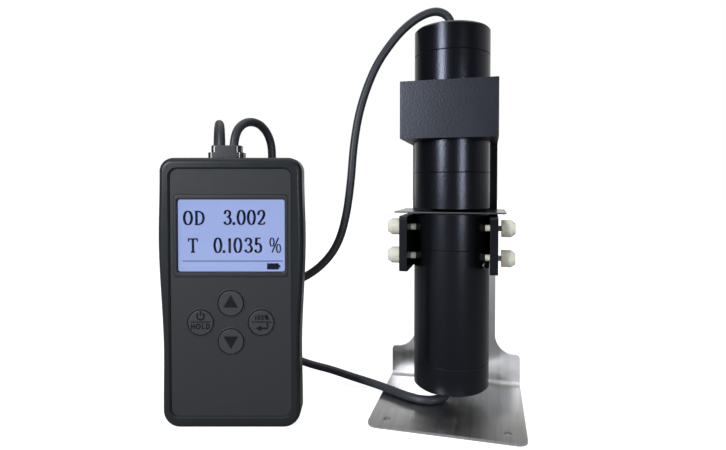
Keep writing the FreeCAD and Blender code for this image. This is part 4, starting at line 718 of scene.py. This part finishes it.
LENGTH = "NodeSocketFloat"
screws, given, result = geometry_group("cross_head_screws", [
    ("Head Radius", LENGTH, 0.0027), ("Head Height", LENGTH, 0.0018), ("Shank Radius", LENGTH, 0.0015),
    ("Shank Length", LENGTH, 0.009), ("Cross Width", LENGTH, 0.0006), ("Cross Depth", LENGTH, 0.001),
    ("Facing", "NodeSocketVector", (0, 0, 0)), ("Seed", "NodeSocketInt", 4),
    ("Finish", "NodeSocketMaterial", None)])
lower_height = math_node(screws, "MULTIPLY", given["Head Height"], 0.55)
upper_height = math_node(screws, "MULTIPLY", given["Head Height"], 0.46)
rim = node(screws, "GeometryNodeMeshCylinder",
           {"Vertices": 40, "Radius": given["Head Radius"], "Depth": lower_height})
slope = node(screws, "GeometryNodeMeshCone", {
    "Vertices": 40, "Radius Top": math_node(screws, "MULTIPLY", given["Head Radius"], 0.74),
    "Radius Bottom": math_node(screws, "MULTIPLY", given["Head Radius"], 0.998), "Depth": upper_height})
shank = node(screws, "GeometryNodeMeshCylinder",
             {"Vertices": 40, "Radius": given["Shank Radius"], "Depth": given["Shank Length"]})
solid = node(screws, "GeometryNodeMeshBoolean", {}, operation="UNION")
for geometry in (
        moved(screws, rim.outputs["Mesh"], math_node(screws, "MULTIPLY", lower_height, 0.5)),
        moved(screws, slope.outputs["Mesh"], math_node(screws, "MULTIPLY", given["Head Height"], 0.54)),
        moved(screws, shank.outputs["Mesh"], math_node(
            screws, "MULTIPLY_ADD", given["Shank Length"], -0.5, 0.0002))):
    screws.links.new(geometry, solid.inputs["Mesh 2"])
arm = math_node(screws, "MULTIPLY", given["Head Radius"], 1.05)
cut = node(screws, "GeometryNodeMeshBoolean", {"Mesh 1": solid.outputs["Mesh"]}, operation="DIFFERENCE")
for wide, high in ((arm, given["Cross Width"]), (given["Cross Width"], arm)):
    size = node(screws, "ShaderNodeCombineXYZ", {
        "X": wide, "Y": high, "Z": math_node(screws, "MULTIPLY", given["Cross Depth"], 2.0)})
    bar = node(screws, "GeometryNodeMeshCube", {"Size": size.outputs[0]})
    screws.links.new(moved(screws, bar.outputs["Mesh"], given["Head Height"]), cut.inputs["Mesh 2"])
copies = node(screws, "GeometryNodeInstanceOnPoints", {
    "Points": given["Geometry"], "Instance": cut.outputs["Mesh"], "Rotation": given["Facing"]})
turn = node(screws, "FunctionNodeRandomValue", {"Seed": given["Seed"]}, data_type="FLOAT")
turn.inputs[3].default_value = math.tau
twist = node(screws, "ShaderNodeCombineXYZ", {"Z": turn.outputs[1]})
turned = node(screws, "GeometryNodeRotateInstances",
              {"Instances": copies.outputs[0], "Rotation": twist.outputs[0], "Local Space": True})
real = node(screws, "GeometryNodeRealizeInstances", {"Geometry": turned.outputs[0]})
painted = node(screws, "GeometryNodeSetMaterial",
               {"Geometry": real.outputs[0], "Material": given["Finish"]})
screws.links.new(painted.outputs[0], result["Geometry"])
print("screw tree", len(screws.nodes), "nodes")

# %% [markdown]
# ## Screws in place
# The screws of the block and the wings go in from behind, through the post, and those of the case from the
# meter's back, so all the heads face backwards. The tree runs as a modifier on a few bare points, one for
# each screw. Its result is kept as a plain mesh, because a modifier's copies don't leave Blender.

# %% Screws in place
def grown(name, vertices, tree, values, body, replaced, bevel=0.0, place=None):
    """Runs a tree on a few points and keeps the result as one plain mesh piece."""
    seed_mesh = bpy.data.meshes.new(name + "_points")
    seed_mesh.from_pydata(vertices, [], [])
    grower = link(bpy.data.objects.new(name + "_points", seed_mesh))
    modifier = grower.modifiers.new("grow", "NODES")
    modifier.node_group = tree
    for item in tree.interface.items_tree:
        if item.in_out == "INPUT" and item.name in values:
            modifier[item.identifier] = values[item.name]
    if bevel:
        rounding = grower.modifiers.new("rounding", "BEVEL")
        rounding.width = bevel
        rounding.segments = 3
        rounding.angle_limit = math.radians(25)
        rounding.use_clamp_overlap = True
    evaluated = grower.evaluated_get(bpy.context.evaluated_depsgraph_get())
    mesh = bpy.data.meshes.new_from_object(evaluated)
    bpy.data.objects.remove(grower)
    if place is not None:
        mesh.transform(place)
    mesh.name = name
    mesh.set_sharp_from_angle(angle=math.radians(30))
    piece = link(bpy.data.objects.new(name, mesh))
    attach(piece, body)
    if replaced:
        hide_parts(replaced)
    print(name, len(mesh.polygons), "faces")
    return piece


BACKWARDS = (math.radians(-90), 0, 0)
grown("block_screw_heads", [(x, 0.0311, z) for x in (-0.0232, 0.0232) for z in (0.1693, 0.1862)],
      screws, {"Head Radius": 0.00275, "Head Height": 0.0018, "Shank Radius": 0.0015,
               "Shank Length": 0.0165, "Cross Width": 0.0007, "Cross Depth": 0.0011,
               "Facing": BACKWARDS, "Seed": 4, "Finish": MATERIALS["steel_screw"]},
      "instrument", "block_screws")
grown("wing_screw_heads", [(x, 0.0311, z) for x in (-0.0249, 0.0249) for z in (0.0882, 0.1125)],
      screws, {"Head Radius": 0.0021, "Head Height": 0.0018, "Shank Radius": 0.00125,
               "Shank Length": 0.0165, "Cross Width": 0.0006, "Cross Depth": 0.001,
               "Facing": BACKWARDS, "Seed": 9, "Finish": MATERIALS["steel_screw"]},
      "instrument", "wing_screws")
grown("case_screw_heads",
      [METER @ Vector((x, 0.024, z)) for x in (-0.029, 0.029) for z in (0.0112, 0.1383)],
      screws, {"Head Radius": 0.0026, "Head Height": 0.002, "Shank Radius": 0.00125,
               "Shank Length": 0.016, "Cross Width": 0.0007, "Cross Depth": 0.0012,
               "Facing": (math.radians(-90), 0, METER_TURN), "Seed": 13,
               "Finish": MATERIALS["steel_screw"]},
      "instrument", "case_screws")

# %% [markdown]
# ## Thumbscrews
# Four moulded nylon screws clamp the sensor probe between the wings. Each has a thread, a thin neck and a
# barrel head that narrows at its end. The thread follows a simple rule: the radius of a rod dips and rises
# once per pitch, and the dip moves round with the angle. A tree applies that rule to a plain cylinder and
# adds the neck and head. Each screw turns by itself, so each is its own piece.

# %% A tree that grows a thumbscrew
thumb, given, result = geometry_group("thumbscrew", [
    ("Shank Radius", LENGTH, 0.002), ("Shank Length", LENGTH, 0.0071), ("Pitch", LENGTH, 0.0007),
    ("Thread Depth", LENGTH, 0.00035), ("Neck Radius", LENGTH, 0.0016), ("Neck Length", LENGTH, 0.0019),
    ("Head Radius", LENGTH, 0.005), ("Straight", LENGTH, 0.0054), ("Taper", LENGTH, 0.0025),
    ("End Radius", LENGTH, 0.0033), ("Finish", "NodeSocketMaterial", None)])
rod = node(thumb, "GeometryNodeMeshCylinder", {
    "Vertices": 32, "Side Segments": 81, "Radius": given["Shank Radius"], "Depth": given["Shank Length"]})
spot = node(thumb, "GeometryNodeInputPosition").outputs[0]
axes = node(thumb, "ShaderNodeSeparateXYZ", {0: spot}).outputs
angle = math_node(thumb, "DIVIDE", math_node(thumb, "ARCTAN2", axes["Y"], axes["X"]), math.tau)
turns = math_node(thumb, "SUBTRACT", math_node(thumb, "DIVIDE", axes["Z"], given["Pitch"]), angle)
wave = math_node(thumb, "PINGPONG", math_node(thumb, "FRACT", math_node(thumb, "ADD", turns, 50.0)), 0.5)
dip = math_node(thumb, "MULTIPLY", math_node(thumb, "MULTIPLY", wave, -2.0), given["Thread Depth"])
outward = node(thumb, "ShaderNodeVectorMath", {
    0: node(thumb, "ShaderNodeCombineXYZ", {"X": axes["X"], "Y": axes["Y"]}).outputs[0]},
    operation="NORMALIZE").outputs[0]
dent = node(thumb, "ShaderNodeVectorMath", {0: outward, "Scale": dip}, operation="SCALE").outputs[0]
threaded = node(thumb, "GeometryNodeSetPosition", {"Geometry": rod.outputs["Mesh"], "Offset": dent})
neck = node(thumb, "GeometryNodeMeshCylinder", {
    "Vertices": 48, "Radius": given["Neck Radius"],
    "Depth": math_node(thumb, "ADD", given["Neck Length"], 0.0004)})
head = node(thumb, "GeometryNodeMeshCylinder", {
    "Vertices": 48, "Radius": given["Head Radius"], "Depth": given["Straight"]})
nose = node(thumb, "GeometryNodeMeshCone", {
    "Vertices": 48, "Radius Bottom": given["Head Radius"], "Radius Top": given["End Radius"],
    "Depth": given["Taper"]})
half_shank = math_node(thumb, "MULTIPLY", given["Shank Length"], 0.5)
neck_z = math_node(thumb, "MULTIPLY_ADD", given["Neck Length"], 0.5, half_shank)
head_start = math_node(thumb, "ADD", half_shank, given["Neck Length"])
head_z = math_node(thumb, "MULTIPLY_ADD", given["Straight"], 0.5, head_start)
nose_z = math_node(thumb, "ADD", head_start, given["Straight"])
barrel = node(thumb, "GeometryNodeMeshBoolean", {}, operation="UNION")
for geometry in (moved(thumb, head.outputs["Mesh"], head_z), moved(thumb, nose.outputs["Mesh"], nose_z),
                 moved(thumb, neck.outputs["Mesh"], neck_z)):
    thumb.links.new(geometry, barrel.inputs["Mesh 2"])
whole = node(thumb, "GeometryNodeJoinGeometry")
thumb.links.new(threaded.outputs[0], whole.inputs[0])
thumb.links.new(barrel.outputs["Mesh"], whole.inputs[0])
real = node(thumb, "GeometryNodeRealizeInstances", {"Geometry": whole.outputs[0]})
painted = node(thumb, "GeometryNodeSetMaterial", {"Geometry": real.outputs[0], "Material": given["Finish"]})
thumb.links.new(painted.outputs[0], result["Geometry"])
print("thumbscrew tree", len(thumb.nodes), "nodes")

# %% [markdown]
# ## Thumbscrews in place
# Two screws stand in each wing, one above the other. Each reaches from the flat of the probe, where its tip
# presses, out through the wing, so the length of its thread follows from those two places.

# %% Thumbscrews in place
TIP = 0.02054  # distance from the middle of the stand to the tip of each screw
THREAD_END = 0.0277
SHANK = THREAD_END - TIP
for side, hand in ((-1, "left"), (1, "right")):
    for z, height in ((0.0916, "lower"), (0.1091, "upper")):
        middle = Vector((side * (TIP + SHANK / 2), -0.012, z))
        place = Matrix.Translation(middle) @ Matrix.Rotation(math.radians(90 * side), 4, "Y")
        grown(f"{hand}_{height}_nylon_screw", [(0, 0, 0)], thumb,
              {"Shank Length": SHANK, "Finish": MATERIALS["nylon"]}, f"{hand}_{height}_thumbscrew",
              f"thumbscrew_{hand}_{height}", bevel=0.0003, place=place)
